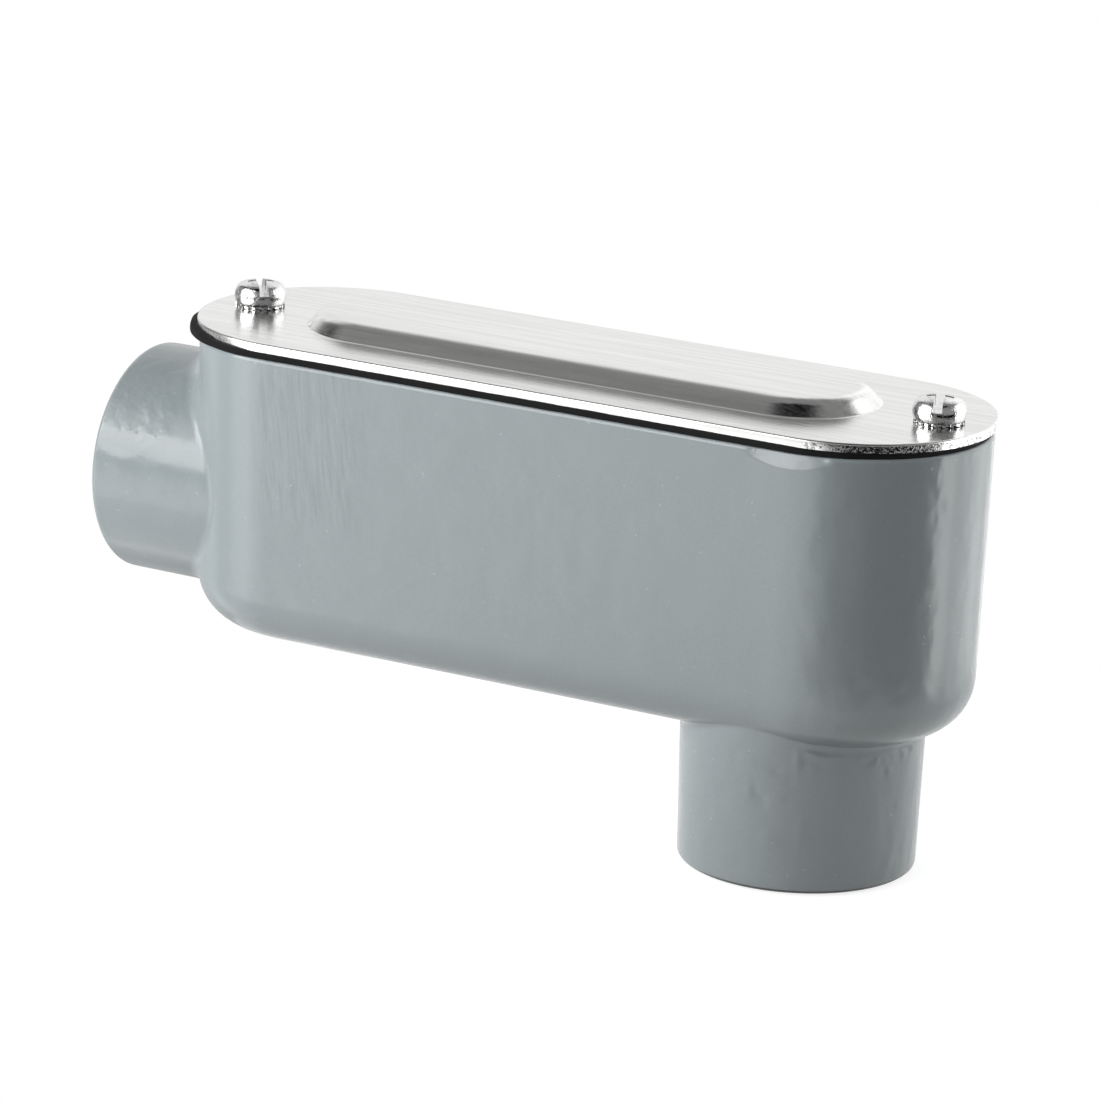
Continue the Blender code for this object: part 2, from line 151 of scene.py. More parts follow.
def tint(label, default, description):
    """A colour that the panel shows."""
    return FloatVectorProperty(name=label, default=default, size=3, min=0.0, max=1.0,
                               subtype="COLOR", description=description)


class HousingSizes(bpy.types.PropertyGroup):
    """Sizes of the casting."""

    end_hub_reach: size("End hub reach", 0.0115, "From the box's left end to the end hub's mouth")
    end_hub_radius: size("End hub radius", 0.0169, "Outer radius at the mouth")
    end_hub_draft: share("End hub draft", 0.004, "Growth of the radius for each metre inwards")
    end_hub_blend: size("End hub blend", 0.0030, "Radius of the fillet against the box")
    below_end_hub: size("Below end hub", 0.0032, "From the underside of the box up to the end hub")
    down_hub_radius: size("Down hub radius", 0.0170, "Outer radius at the mouth")
    down_hub_length: size("Down hub length", 0.0213, "From the mouth to the underside of the box")
    down_hub_draft: share("Down hub draft", 0.021, "Growth of the radius for each metre inwards")
    down_hub_blend: size("Down hub blend", 0.0015, "Radius of the fillet against the box")
    mouth_round: size("Mouth round", 0.0009, "Round on the outer edge of each hub's mouth")
    box_draft: share("Box draft", 0.017, "How far the walls lean in for each metre down")
    box_corner: size("Box corner", 0.0078, "Round between the walls and the underside")
    wall: size("Wall", 0.0026, "Thickness of the walls and the underside")
    rim_round: size("Rim round", 0.0004, "Round on the outer edge of the rim")
    rim_chamfer: size("Rim chamfer", 0.0002, "Height of the chamfer under that round")
    trim_middle: FloatProperty(name="Trim middle", default=0.0052, precision=5, unit="LENGTH",
                               description="Place along X of the flat trimmed on the front rim")
    trim_reach: size("Trim reach", 0.0062, "Half the length of that flat")
    trim_depth: size("Trim depth", 0.0019, "Greatest height of that flat")
    trim_lean: share("Trim lean", 0.30, "How far the chamfer and the flat lean in per height")
    rim_rise: size("Rim rise", 0.00035, "How far the rim is carried up to meet the gasket")
    bore_radius: size("Bore radius", 0.0129, "Mean radius of the thread at the mouth")
    bore_taper: share("Bore taper", 1 / 32, "Loss of the bore's radius for each metre inwards")
    bore_chamfer: size("Bore chamfer", 0.0010, "Chamfer at the mouth of the bore")
    thread_pitch: size("Thread pitch", 0.001814, "Advance of the pipe thread in one turn")
    thread_height: size("Thread height", 0.0011, "From the thread's root to its crest")
    bushing_lip: size("Bushing lip", 0.0020, "How far the smooth stop stands into the bore")
    bushing_thickness: size("Bushing thickness", 0.0040, "Length of the smooth stop")
    bushing_round: size("Bushing round", 0.0012, "Round that the wires slide over")
    boss_radius: size("Boss radius", 0.0043, "Radius of the two screw bosses inside the box")
    boss_taper: size("Boss taper", 0.0020, "Cone under each boss")
    boss_depth: size("Boss depth", 0.0098, "From the rim to the bottom of each boss")
    hole_radius: size("Screw hole radius", 0.0023, "Radius of the holes for the cover screws")
    hole_depth: size("Screw hole depth", 0.0073, "From the rim to the bottom of each hole")


class CoverSizes(bpy.types.PropertyGroup):
    """Sizes of the stamped cover and its gasket."""

    pan_side_margin: size("Pan side margin", 0.0084, "From the long edge to the foot of the pan")
    pan_end_margin: size("Pan end margin", 0.0169, "From the round end to the foot of the pan")
    pan_height: size("Pan height", 0.0023, "How far the pan stands over the flat")
    pan_slope: turn("Pan slope", 45.0, "Lean of the pan's side")
    pan_foot_round: size("Pan foot round", 0.0006, "Round where the pan leaves the flat")
    pan_shoulder_round: size("Pan shoulder round", 0.0030, "Round at the top of the pan's side")
    thickness: size("Sheet thickness", 0.0013, "Thickness of the cover's sheet")
    rollover: size("Rollover", 0.00035, "Round that the shear draws down at the upper edge")
    burnish: share("Burnish", 0.55, "Share of the edge that the shear leaves smooth")
    fracture: size("Fracture depth", 0.00003, "Lean of the torn lower part of the edge")
    gasket_waver: size("Gasket waver", 0.00006, "How far the die-cut gasket strays from its line")
    gasket_bulge: size("Gasket bulge", 0.00008, "How far the squeezed edge of the gasket swells")


class FastenerSizes(bpy.types.PropertyGroup):
    """Sizes of the cover screws and their lock washers."""

    head_radius: size("Head radius", 0.0038, "Largest radius of the screw's head")
    head_side: size("Head side", 0.0028, "Height of the barrel-shaped side")
    head_dome: size("Head dome", 0.0006, "Rise of the dome over the side")
    head_barrel: size("Head barrel", 0.0006, "Loss of radius from the waist to the top edge")
    head_waist: share("Head waist", 0.4, "Height of the waist as a share of the side")
    shank_radius: size("Shank radius", 0.0020, "Outer radius of the screw's thread")
    shank_length: size("Shank length", 0.0100, "Length under the head")
    shank_pitch: size("Shank pitch", 0.00079, "Advance of the screw's thread in one turn")
    shank_thread: size("Shank thread", 0.00042, "Height of the screw's thread")
    slot_width: size("Slot width", 0.0013, "Width of the driver slot")
    slot_depth: size("Slot depth", 0.0017, "Depth of the driver slot")
    cross_length: size("Cross length", 0.0042, "Length of the cross wing")
    cross_width: size("Cross width", 0.0009, "Width of the cross wing")
    cross_depth: size("Cross depth", 0.0015, "Depth of the cross wing")
    left_turn: turn("Left slot turn", -50.0, "Direction of the left screw's slot")
    right_turn: turn("Right slot turn", -70.0, "Direction of the right screw's slot")
    washer_radius: size("Washer radius", 0.0036, "Radius over the teeth")
    washer_tooth: size("Tooth length", 0.0007, "Length of each tooth")
    washer_thickness: size("Washer thickness", 0.00035, "Thickness of the washer's sheet")
    washer_twist: size("Tooth twist", 0.00008, "Rise and fall of each twisted tooth")
    washer_teeth: IntProperty(name="Teeth", default=18, min=6, max=36,
                              description="Number of teeth round the washer")


class Finishes(bpy.types.PropertyGroup):
    """Colours of the finishes."""

    paint: tint("Paint", (0.324, 0.367, 0.380), "Grey enamel on the casting")
    rubber: tint("Rubber", (0.0065, 0.0065, 0.007), "Black gasket")
    sheet: tint("Sheet", (0.80, 0.80, 0.79), "Bright brushed sheet of the cover")
    plated: tint("Plated steel", (0.72, 0.72, 0.72), "Bright plating of screws and washers")


class StageSettings(bpy.types.PropertyGroup):
    """Camera, floor and lights."""

    azimuth: turn("Azimuth", 28.583, "Direction of the camera from straight in front")
    elevation: turn("Elevation", 15.741, "Height of the camera over the horizon")
    roll: turn("Roll", 2.361, "Lean of the camera about its own line of sight")
    distance: size("Distance", 0.82332, "From the camera to the point that it looks at")
    target: FloatVectorProperty(name="Target", default=(-0.041915, 0.0, 0.038157), size=3,
                                subtype="TRANSLATION", description="Point at the picture's centre")
    lens: share("Lens", 186.87, "Focal length in millimetres", 1.0, 500.0)
    floor_radius: size("Floor radius", 0.11, "Radius of the pale floor")
    key_strength: share("Key strength", 5.7, "Radiance of the large soft box", 0.0, 50.0)


class ConduitBody(bpy.types.PropertyGroup):
    """Everything that a user may change."""

    housing: PointerProperty(type=HousingSizes)
    cover: PointerProperty(type=CoverSizes)
    fastener: PointerProperty(type=FastenerSizes)
    finish: PointerProperty(type=Finishes)
    stage: PointerProperty(type=StageSettings)


# Surfaces. A grid is an array of levels, points round each level, and three coordinates.


def stadium_plan(arc_steps, side_steps):
    """Outline of a stadium: the way out at each point, and its place along the spine.

    The angle of the way out runs half a turn at each end of the spine, and rests while the
    place runs along a straight side. Returns unit vectors and places from 0 to 1.
    """
    arc = np.linspace(-math.pi / 2, math.pi / 2, arc_steps + 1)
    run = np.linspace(0, 1, side_steps + 1)[1:-1]
    still = np.ones_like(run)
    angle = np.concatenate([arc, still * math.pi / 2, arc + math.pi, still * 1.5 * math.pi])
    place = np.concatenate([np.ones_like(arc), 1 - run, np.zeros_like(arc), run])
    return np.column_stack([np.cos(angle), np.sin(angle)]), place


def stadium_grid(plan, spine, width, height):
    """Levels of a stadium: each point is its place on the spine plus its way out times a width.

    Width and height hold one value for each level, or one for each point of each level.
    """
    way_out, place = plan
    width = np.atleast_1d(width).reshape(len(width), -1)
    height = np.broadcast_to(np.asarray(height).reshape(len(width), -1), (len(width), len(place)))
    across = spine[0] + (spine[1] - spine[0]) * place + width * way_out[:, 0]
    along = width * way_out[:, 1]
    return np.stack([across, along, height], axis=-1)


def round_angles(steps, start=0.0):
    """Even angles of one whole turn, which begin at a share of a step."""
    return (np.arange(steps) + start) * 2 * math.pi / steps


def turned_grid(radius, height, steps, centre):
    """Levels of a turned shape: a circle for each radius and height, about a place along X."""
    angle = round_angles(steps, 0.5)
    radius = np.asarray(radius).reshape(len(radius), -1)
    height = np.asarray(height).reshape(len(height), -1)
    x = centre + radius * np.cos(angle)
    return np.stack([x, radius * np.sin(angle), np.broadcast_to(height, x.shape)], axis=-1)


def bend(centre, radius, start, end, steps):
    """Points of a flat arc about a centre, from one angle to another, as two columns."""
    angle = np.linspace(start, end, steps + 1)
    return np.column_stack([centre[0] + radius * np.cos(angle),
                            centre[1] + radius * np.sin(angle)])


def screw_wave(depth, angle, pitch, start, end):
    """Thread: a triangle wave with cut crests, which climbs one pitch in each turn.

    It fades in after the start and out before the end, over one pitch.
    """
    phase = depth / pitch - angle / (2 * math.pi)
    triangle = np.abs(2 * (phase - np.floor(phase)) - 1)
    wave = np.clip((triangle - 0.08) / 0.84, 0, 1) - 0.5
    fade_in = np.clip((depth - start) / pitch, 0, 1)
    fade_out = np.clip((end - depth) / pitch, 0, 1)
    return wave * fade_in * fade_out


def soft_noise(points, period, seed, waves):
    """Smooth noise round a closed line: sines of whole numbers of turns and drawn phases."""
    draw = np.random.default_rng(seed)
    position = np.arange(points) / points
    turns = np.arange(1, waves + 1) * period
    phase = draw.uniform(0, 2 * math.pi, waves)
    strength = draw.uniform(0.4, 1.0, waves) / math.sqrt(waves)
    return np.sum(strength * np.sin(2 * math.pi * position[:, None] * turns + phase), axis=-1)


def grid_mesh(name, grid, loop=False):
    """Mesh over a grid: quads between levels, with flat ends, or the last level tied to the first."""
    levels, around = grid.shape[:2]
    index = np.arange(levels * around).reshape(levels, around)
    here = index if loop else index[:-1]
    there = np.roll(index, -1, axis=0) if loop else index[1:]
    quads = np.stack([here, np.roll(here, -1, axis=1), np.roll(there, -1, axis=1), there], axis=-1)
    faces = quads.reshape(-1, 4).tolist()
    if not loop:
        faces += [index[0].tolist(), index[-1].tolist()]
    mesh = bpy.data.meshes.new(name)
    mesh.from_pydata(grid.reshape(-1, 3).tolist(), [], faces)
    face_out(mesh)
    return mesh


def face_out(mesh):
    """Turn every face of a closed mesh outwards."""
    work = bmesh.new()
    work.from_mesh(mesh)
    bmesh.ops.recalc_face_normals(work, faces=work.faces)
    work.to_mesh(mesh)
    work.free()


def add_object(name, data):
    """Put a mesh, a camera or a lamp in the scene."""
    piece = bpy.data.objects.new(name, data)
    bpy.context.scene.collection.objects.link(piece)
    return piece


def add_grid(name, grid, loop=False):
    """Put the mesh over a grid in the scene."""
    return add_object(name, grid_mesh(name, grid, loop))


def carve(piece, steps):
    """Add and cut tool meshes in turn, and leave the result as the piece's plain mesh."""
    tools = []
    for operation, mesh in steps:
        tool = add_object(mesh.name, mesh)
        tools.append(tool)
        boolean = piece.modifiers.new(mesh.name, "BOOLEAN")
        boolean.operation = operation
        boolean.object = tool
        boolean.solver = "EXACT"
    settle(piece)
    for tool in tools:
        bpy.data.objects.remove(tool, do_unlink=True)


def settle(piece):
    """Turn what the modifiers give into the piece's own mesh."""
    graph = bpy.context.evaluated_depsgraph_get()
    mesh = bpy.data.meshes.new_from_object(piece.evaluated_get(graph))
    piece.modifiers.clear()
    old = piece.data
    piece.data = mesh
    bpy.data.meshes.remove(old)


def hand_over(piece, material, node, sharp_angle, weighted=False):
    """Shade a finished piece, give it its material and its body, and hide the node that it stands
    for.

    Edges stay crisp from an angle in degrees. Weighted normals let large faces set the shading
    next to them, so that flats look flat.
    """
    piece.data.shade_smooth()
    piece.data.set_sharp_from_angle(angle=math.radians(sharp_angle))
    if weighted:
        normals = piece.modifiers.new("weighted_normals", "WEIGHTED_NORMAL")
        normals.keep_sharp = True
        normals.weight = 80
    piece.data.materials.clear()
    piece.data.materials.append(material)
    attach(piece, BODY)
    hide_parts(node)


# Casting.


class Tub:
    """A trough with a stadium plan, leaning walls, a flat underside and a round bottom corner."""

    def __init__(self, left, right, half_width, top, bottom, corner, draft):
        self.spine = (left + half_width, right - half_width)
        self.half_width = half_width
        self.top = top
        self.bottom = bottom
        self.corner = corner
        self.draft = draft
        self.lean = math.hypot(1, draft)
        corner_height = bottom + corner
        self.corner_centre = (self.width_at(corner_height) - corner * self.lean, corner_height)

    def width_at(self, height):
        """Half width of the leaning wall at a height."""
        return self.half_width - self.draft * (self.top - height)

    def distance(self, points):
        """Distance from the skin, positive outside: a shrunk corner grown by its round."""
        nearest = np.clip(points[..., 0], *self.spine)
        across = np.hypot(points[..., 0] - nearest, points[..., 1])
        wall = (across - self.width_at(points[..., 2])) / self.lean + self.corner
        floor = self.bottom - points[..., 2] + self.corner
        outside = np.hypot(np.maximum(wall, 0), np.maximum(floor, 0))
        inside = np.minimum(np.maximum(wall, floor), 0)
        return outside + inside - self.corner

    def normal(self, points):
        """Outward direction at each point: the slope of the distance, by small steps."""
        step = 1e-6 * np.eye(3)
        slope = np.stack([self.distance(points + s) - self.distance(points - s) for s in step], -1)
        return slope / np.linalg.norm(slope, axis=-1, keepdims=True)

    def corner_profile(self, steps):
        """Width and height from the flat underside, round the corner, to the wall's foot."""
        swing = math.pi / 2 - math.atan(self.draft)
        return bend(self.corner_centre, self.corner, -math.pi / 2, swing - math.pi / 2, steps)


class Spigot:
    """A round socket or hub: the centre of its mouth, the way in, and a straight taper."""

    def __init__(self, mouth, inward, side, radius, taper, steps):
        self.mouth = np.array(mouth)
        self.inward = np.array(inward)
        side = np.array(side)
        self.angle = round_angles(steps)
        self.outward = (side * np.cos(self.angle)[:, None]
                        + np.cross(self.inward, side) * np.sin(self.angle)[:, None])
        self.radius = radius
        self.taper = taper

    def radius_at(self, depth):
        """Radius at a depth from the mouth."""
        return self.radius + self.taper * depth

    def grid(self, radius, depth):
        """Points round the axis, from radii and depths that have a row for each level."""
        radius, depth = np.broadcast_arrays(radius, depth)
        if radius.ndim == 1:
            radius = np.repeat(radius[:, None], len(self.angle), axis=1)
            depth = np.repeat(depth[:, None], len(self.angle), axis=1)
        return self.mouth + depth[..., None] * self.inward + radius[..., None] * self.outward

    def blend(self, tub, ball, reach, steps):
        """Levels of the blend that a ball leaves as it rolls round the spigot against a tub.

        At each step the ball touches the spigot, and is slid in until it touches the tub. The
        blend is the arc between the two touching points. A last level, inside, closes the end.
        """
        near = np.zeros(len(self.angle))
        far = np.full(len(self.angle), reach)
        for _ in range(40):
            middle = (near + far) / 2
            centre = self.grid((self.radius_at(middle) + ball)[None], middle[None])[0]
            clear = tub.distance(centre) > ball - BLEND_BITE
            near = np.where(clear, middle, near)
            far = np.where(clear, far, middle)
        centre = self.grid((self.radius_at(near) + ball)[None], near[None])[0]
        to_spigot = -self.outward
        to_tub = -tub.normal(centre)
        opening = np.arccos(np.clip(np.sum(to_spigot * to_tub, axis=1), -1, 1))[:, None]
        part = np.linspace(0, 1, steps + 1)[:, None, None]
        swing = np.sin((1 - part) * opening) * to_spigot + np.sin(part * opening) * to_tub
        levels = centre + ball * swing / np.sin(opening)
        last = self.grid([0.6 * self.radius], [near.max() + ball])
        return near, np.concatenate([levels, last])


# Marks that the casting shows on its hubs: direction in degrees, height over the mouth, breadth
# round the hub and along it, and rise, in millimetres. The direction runs from -Y towards +X on
# the down hub, and from -Y downwards on the end hub.
DOWN_HUB_MARKS = (
    (24.5, 19.9, 0.45, 1.2, 0.14), (28, 19.3, 0.6, 1.3, -0.09), (29, 20.9, 0.8, 0.4, 0.10),
    (33, 20.5, 0.7, 0.5, 0.12), (37, 20.3, 0.8, 0.4, 0.08), (31, 19.7, 0.6, 0.5, -0.09),
    (35, 19.1, 0.5, 0.6, -0.07), (43, 20.2, 0.8, 0.45, 0.08), (46, 19.2, 0.7, 0.6, -0.06),
    (53, 19.8, 0.8, 0.45, 0.07), (52, 18.4, 0.6, 0.7, -0.06), (58.4, 19.2, 0.7, 0.5, -0.12),
    (63, 19.0, 0.5, 0.6, 0.14), (68, 19.2, 0.5, 0.7, 0.12), (73, 20.3, 0.5, 0.8, 0.14),
    (77, 20.4, 0.5, 0.8, -0.15), (81, 19.5, 0.5, 0.9, 0.14), (85, 20.0, 0.5, 0.8, -0.14),
    (89, 20.2, 0.5, 0.8, 0.14), (68, 17.4, 0.5, 0.7, -0.12), (71, 17.2, 0.5, 0.6, 0.12),
    (79, 11.9, 0.5, 0.5, 0.12), (-6, 18.4, 0.7, 1.0, -0.07), (5, 14.8, 0.6, 1.5, -0.10),
    (8.7, 13.6, 0.7, 1.1, -0.14), (2, 14.4, 0.6, 1.1, 0.09), (15, 18.0, 1.0, 0.8, -0.10),
    (21, 17.0, 0.8, 1.0, -0.10), (21, 13.8, 0.7, 0.6, -0.09), (27.5, 9.2, 0.7, 2.2, 0.09),
    (-17, 9.2, 0.6, 0.6, 0.09), (-1, 19.4, 0.5, 0.6, 0.10), (3, 18.9, 0.5, 0.6, 0.10),
    (75, 3.6, 1.1, 1.3, 0.09), (34, 0.7, 0.9, 0.4, -0.15), (-51, 20.6, 1.2, 0.35, -0.12),
    (-46, 21.0, 1.4, 0.35, 0.17), (12, 8.0, 1.2, 1.2, 0.09), (-12, 13.2, 1.2, 1.3, -0.09),
    (44, 14.5, 1.4, 1.8, 0.09), (55, 9.5, 1.3, 2.0, -0.10), (66, 12.0, 1.0, 1.4, 0.12),
    (72, 8.5, 1.2, 1.6, -0.09), (-25, 6.0, 1.5, 1.8, 0.07), (-3, 3.5, 1.6, 1.4, -0.07),
)
END_HUB_MARKS = (
    (-36, 3.6, 1.3, 0.9, 0.06), (-33, 6.4, 1.0, 0.8, -0.06), (-36, 8.2, 1.0, 0.9, 0.06),
    (-31, 9.8, 0.9, 0.8, -0.05), (-40, 6.0, 1.0, 0.8, -0.05), (-29, 11.6, 0.9, 0.8, 0.05),
    (-66, 8.6, 0.5, 2.4, -0.05), (-63, 9.4, 0.4, 2.0, 0.04), (-58, 7.2, 0.4, 1.6, -0.04),
    (-10, 4.4, 1.4, 1.8, 0.04), (-14, 9.0, 1.5, 1.6, -0.04), (20, 6.0, 2.0, 2.0, 0.04),
)


def cast_marks(hub, marks, radius, depth):
    """Radius with the rise of the cast marks: a sum of one round bell for each mark."""
    for direction, height, breadth, length, lift in marks:
        away = (hub.angle - math.radians(direction) + math.pi) % (2 * math.pi) - math.pi
        across = 1000 * radius * away / breadth
        along = (1000 * depth - height) / length
        radius = radius + lift / 1000 * np.exp(-across ** 2 - along ** 2)
    return radius


def hub_mesh(name, hub, tub, ball, reach, mouth_round, rows, marks):
    """Outside of a hub: its rounded mouth, its taper in even rows, and the blend to the box."""
    edge = bend((hub.radius - mouth_round, mouth_round), mouth_round, -math.pi / 2, 0, 7)
    near, blend = hub.blend(tub, ball, reach, 14)
    part = (np.arange(1, rows) / rows)[:, None]
    depth = mouth_round + part * (near - mouth_round)
    skin = hub.grid(cast_marks(hub, marks, hub.radius_at(depth), depth), depth)
    return grid_mesh(name, np.concatenate([hub.grid(*edge.T), skin, blend]))


def bore_mesh(name, hub, cavity, wall_depth, reach, sizes):
    """Inside of a hub: chamfer, tapered thread, shoulder and the rounded throat of the stop."""
    start = sizes.bore_chamfer / 2
    shoulder = wall_depth - sizes.bushing_thickness
    axis = (hub.mouth, hub.inward, hub.outward[0])
    socket = Spigot(*axis, sizes.bore_radius, -sizes.bore_taper, BORE_STEPS)
    throat_radius = socket.radius_at(shoulder) - sizes.bushing_lip
    throat = Spigot(*axis, throat_radius, 0, BORE_STEPS)
    rows = int(THREAD_ROWS * (shoulder - start) / sizes.thread_pitch)
    depth = np.linspace(start, shoulder, rows)[:, None]
    wave = screw_wave(depth, socket.angle, sizes.thread_pitch, start, shoulder)
    thread = socket.grid(socket.radius_at(depth) + sizes.thread_height * wave, depth)
    cone = np.array([sizes.bore_radius + sizes.bore_chamfer + OVERCUT,
                     sizes.bore_radius + start + CHAMFER_GAP])
    mouth = socket.grid(cone, np.array([-OVERCUT, start - CHAMFER_GAP]))
    ball = sizes.bushing_round
    lip = bend((throat_radius + ball, shoulder + ball), ball, -math.pi / 2, -math.pi, 8)
    blend = throat.blend(cavity, ball, reach, 8)[1]
    return grid_mesh(name, np.concatenate([mouth, thread, throat.grid(*lip.T), blend]))


def cavity_mesh(cavity, rim, sizes):
    """Room inside the box, which stops at the two screw bosses."""
    top = rim + OVERCUT
    profile = np.vstack([cavity.corner_profile(8), [cavity.width_at(top), top]])
    room = add_grid("cavity", stadium_grid(stadium_plan(*CAVITY_PLAN), cavity.spine, *profile.T))
    radius = sizes.boss_radius
    bottom = rim - sizes.boss_depth
    levels = np.array([[radius - sizes.boss_taper, bottom], [radius, bottom + sizes.boss_taper],
                       [radius, rim + 3 * OVERCUT]])
    steps = []
    for side, outward in zip(SIDES, (-1, 1)):
        ends = sorted((SCREW_X[side], SCREW_X[side] + outward * 4 * radius))
        boss = stadium_grid(stadium_plan(*BOSS_PLAN), ends, *levels.T)
        steps.append(("DIFFERENCE", grid_mesh(f"{side}_boss", boss)))
    carve(room, steps)
    mesh = room.data
    bpy.data.objects.remove(room)
    return mesh


def screw_holes(radius, bottom, top):
    """Steps that cut the round holes of both screws between two heights."""
    steps = []
    for side in SIDES:
        hole = turned_grid([radius, radius], [bottom, top], HOLE_STEPS, SCREW_X[side])
        steps.append(("DIFFERENCE", grid_mesh(f"{side}_hole", hole)))
    return steps


def trimmed_widths(sizes, plan, spine, width, height, shoulder):
    """Width at each point of each level of the box, less the rim's chamfer and trimmed flat.

    Both lean in by a share of the height over their lower edge. That edge lies one chamfer
    under the shoulder, and dips in half an ellipse along the trimmed stretch of the front.
    """
    way_out, place = plan
    width = width[:, None]
    across = spine[0] + (spine[1] - spine[0]) * place + width * way_out[:, 0]
    part = (across - sizes.trim_middle) / sizes.trim_reach
    dip = sizes.trim_depth * np.sqrt(np.clip(1 - part ** 2, 0, 1)) * (way_out[:, 1] < 0)
    lower_edge = shoulder - np.maximum(dip, sizes.rim_chamfer)
    over = np.clip(np.minimum(height, shoulder)[:, None] - lower_edge, 0, None)
    return width - sizes.trim_lean * over


def box_skin(box, top, sizes):
    """Levels of the box's outside: underside, corner, wall, and the rim's trim and round."""
    corner_steps, wall_rows, trim_rows = BOX_ROWS
    plan = stadium_plan(*BOX_PLAN)
    corner = box.corner_profile(corner_steps)
    shoulder = top - sizes.rim_round
    trim_foot = shoulder - 1.2 * sizes.trim_depth
    height = np.concatenate([np.linspace(corner[-1, 1], trim_foot, wall_rows)[1:],
                             np.linspace(trim_foot, shoulder, trim_rows)[1:-1]])
    wall = np.column_stack([box.width_at(height), height])
    edge = bend((box.width_at(shoulder) - sizes.rim_round, shoulder), sizes.rim_round, 0,
                math.pi / 2, 4)
    profile = np.vstack([corner, wall, edge])
    width = trimmed_widths(sizes, plan, box.spine, *profile.T, shoulder)
    return stadium_grid(plan, box.spine, width, profile[:, 1])


class CONDUIT_OT_housing(bpy.types.Operator):
    """Cast housing: box and hubs outside, cavity, bosses, threads and stops inside"""

    bl_idname = "conduit.housing"
    bl_label = "Cast housing"

    def execute(self, context):
        sizes = context.scene.conduit_body.housing
        left = HOUSING_LOW.x + sizes.end_hub_reach
        right = HOUSING_HIGH.x
        half_width = HOUSING_HIGH.y
        rim = HOUSING_HIGH.z
        top = rim + sizes.rim_rise
        underside = HOUSING_LOW.z + sizes.down_hub_length
        box = Tub(left, right, half_width, rim, underside, sizes.box_corner, sizes.box_draft)
        cavity = Tub(left + sizes.wall, right - sizes.wall, half_width - sizes.wall, rim,
                     underside + sizes.wall, sizes.box_corner - sizes.wall, sizes.box_draft)
        end_height = underside + sizes.below_end_hub + sizes.end_hub_radius
        front = (0, -1, 0)
        down_hub = Spigot((0, 0, HOUSING_LOW.z), (0, 0, 1), front, sizes.down_hub_radius,
                          sizes.down_hub_draft, DOWN_HUB_STEPS[0])
        end_hub = Spigot((HOUSING_LOW.x, 0, end_height), (1, 0, 0), front,
                         sizes.end_hub_radius, sizes.end_hub_draft, END_HUB_STEPS[0])
        end_reach = box.spine[0] - HOUSING_LOW.x
        end_wall = cavity.spine[0] - cavity.width_at(end_height) - HOUSING_LOW.x
        housing = add_grid("housing_casting", box_skin(box, top, sizes))
        carve(housing, [
            ("UNION", hub_mesh("down_hub", down_hub, box, sizes.down_hub_blend, end_height,
                               sizes.mouth_round, DOWN_HUB_STEPS[1], DOWN_HUB_MARKS)),
            ("UNION", hub_mesh("end_hub", end_hub, box, sizes.end_hub_blend, end_reach,
                               sizes.mouth_round, END_HUB_STEPS[1], END_HUB_MARKS)),
            ("DIFFERENCE", cavity_mesh(cavity, top, sizes)),
            ("DIFFERENCE", bore_mesh("down_bore", down_hub, cavity, cavity.bottom, end_height,
                                     sizes)),
            ("DIFFERENCE", bore_mesh("end_bore", end_hub, cavity, end_wall, end_reach, sizes)),
            *screw_holes(sizes.hole_radius, rim - sizes.hole_depth, top + OVERCUT),
        ])
        hand_over(housing, paint_material(context), "housing", 30, weighted=True)
        return {"FINISHED"}


# Cover and gasket.


def pan_profile(foot_round, shoulder_round, slope, height, steps):
    """Rise of the pan: inward distance from its foot, and height above the flat.

    An arc turns up out of the flat, a straight slope follows, and an arc turns in to the top.
    """
    run = (foot_round + shoulder_round) * math.tan(slope / 2) + height / math.tan(slope)
    foot = bend((0, foot_round), foot_round, -math.pi / 2, slope - math.pi / 2, steps[0])
    shoulder = bend((run, height - shoulder_round), shoulder_round, math.pi / 2 + slope,
                    math.pi / 2, steps[1])
    return np.vstack([foot, shoulder])


class CONDUIT_OT_gasket(bpy.types.Operator):
    """Die-cut gasket, squeezed between the rim and the cover"""

    bl_idname = "conduit.gasket"
    bl_label = "Gasket"

    def execute(self, context):
        sizes = context.scene.conduit_body.cover
        housing = context.scene.conduit_body.housing
        half_width = GASKET_HIGH.y - sizes.gasket_bulge - sizes.gasket_waver
        spine = (GASKET_LOW.x + GASKET_HIGH.y, GASKET_HIGH.x - GASKET_HIGH.y)
        bottom = HOUSING_HIGH.z + housing.rim_rise
        top = PLATE_LOW.z
        plan = stadium_plan(*GASKET_PLAN)
        swell = np.linspace(-1, 1, 7)
        height = (bottom + top) / 2 + swell * (top - bottom) / 2
        waver = sizes.gasket_waver * np.clip(soft_noise(len(plan[1]), 5, 4, 9), -1, 1)
        bulge = sizes.gasket_bulge * np.sqrt(np.clip(1 - swell ** 2, 0, 1))
        width = half_width + bulge[:, None] + waver[None]
        gasket = add_grid("gasket_sheet", stadium_grid(plan, spine, width, height))
        carve(gasket, screw_holes(housing.hole_radius, bottom - OVERCUT, top + OVERCUT))
        hand_over(gasket, rubber_material(context), "cover_gasket", 50,
                  weighted=True)
        return {"FINISHED"}


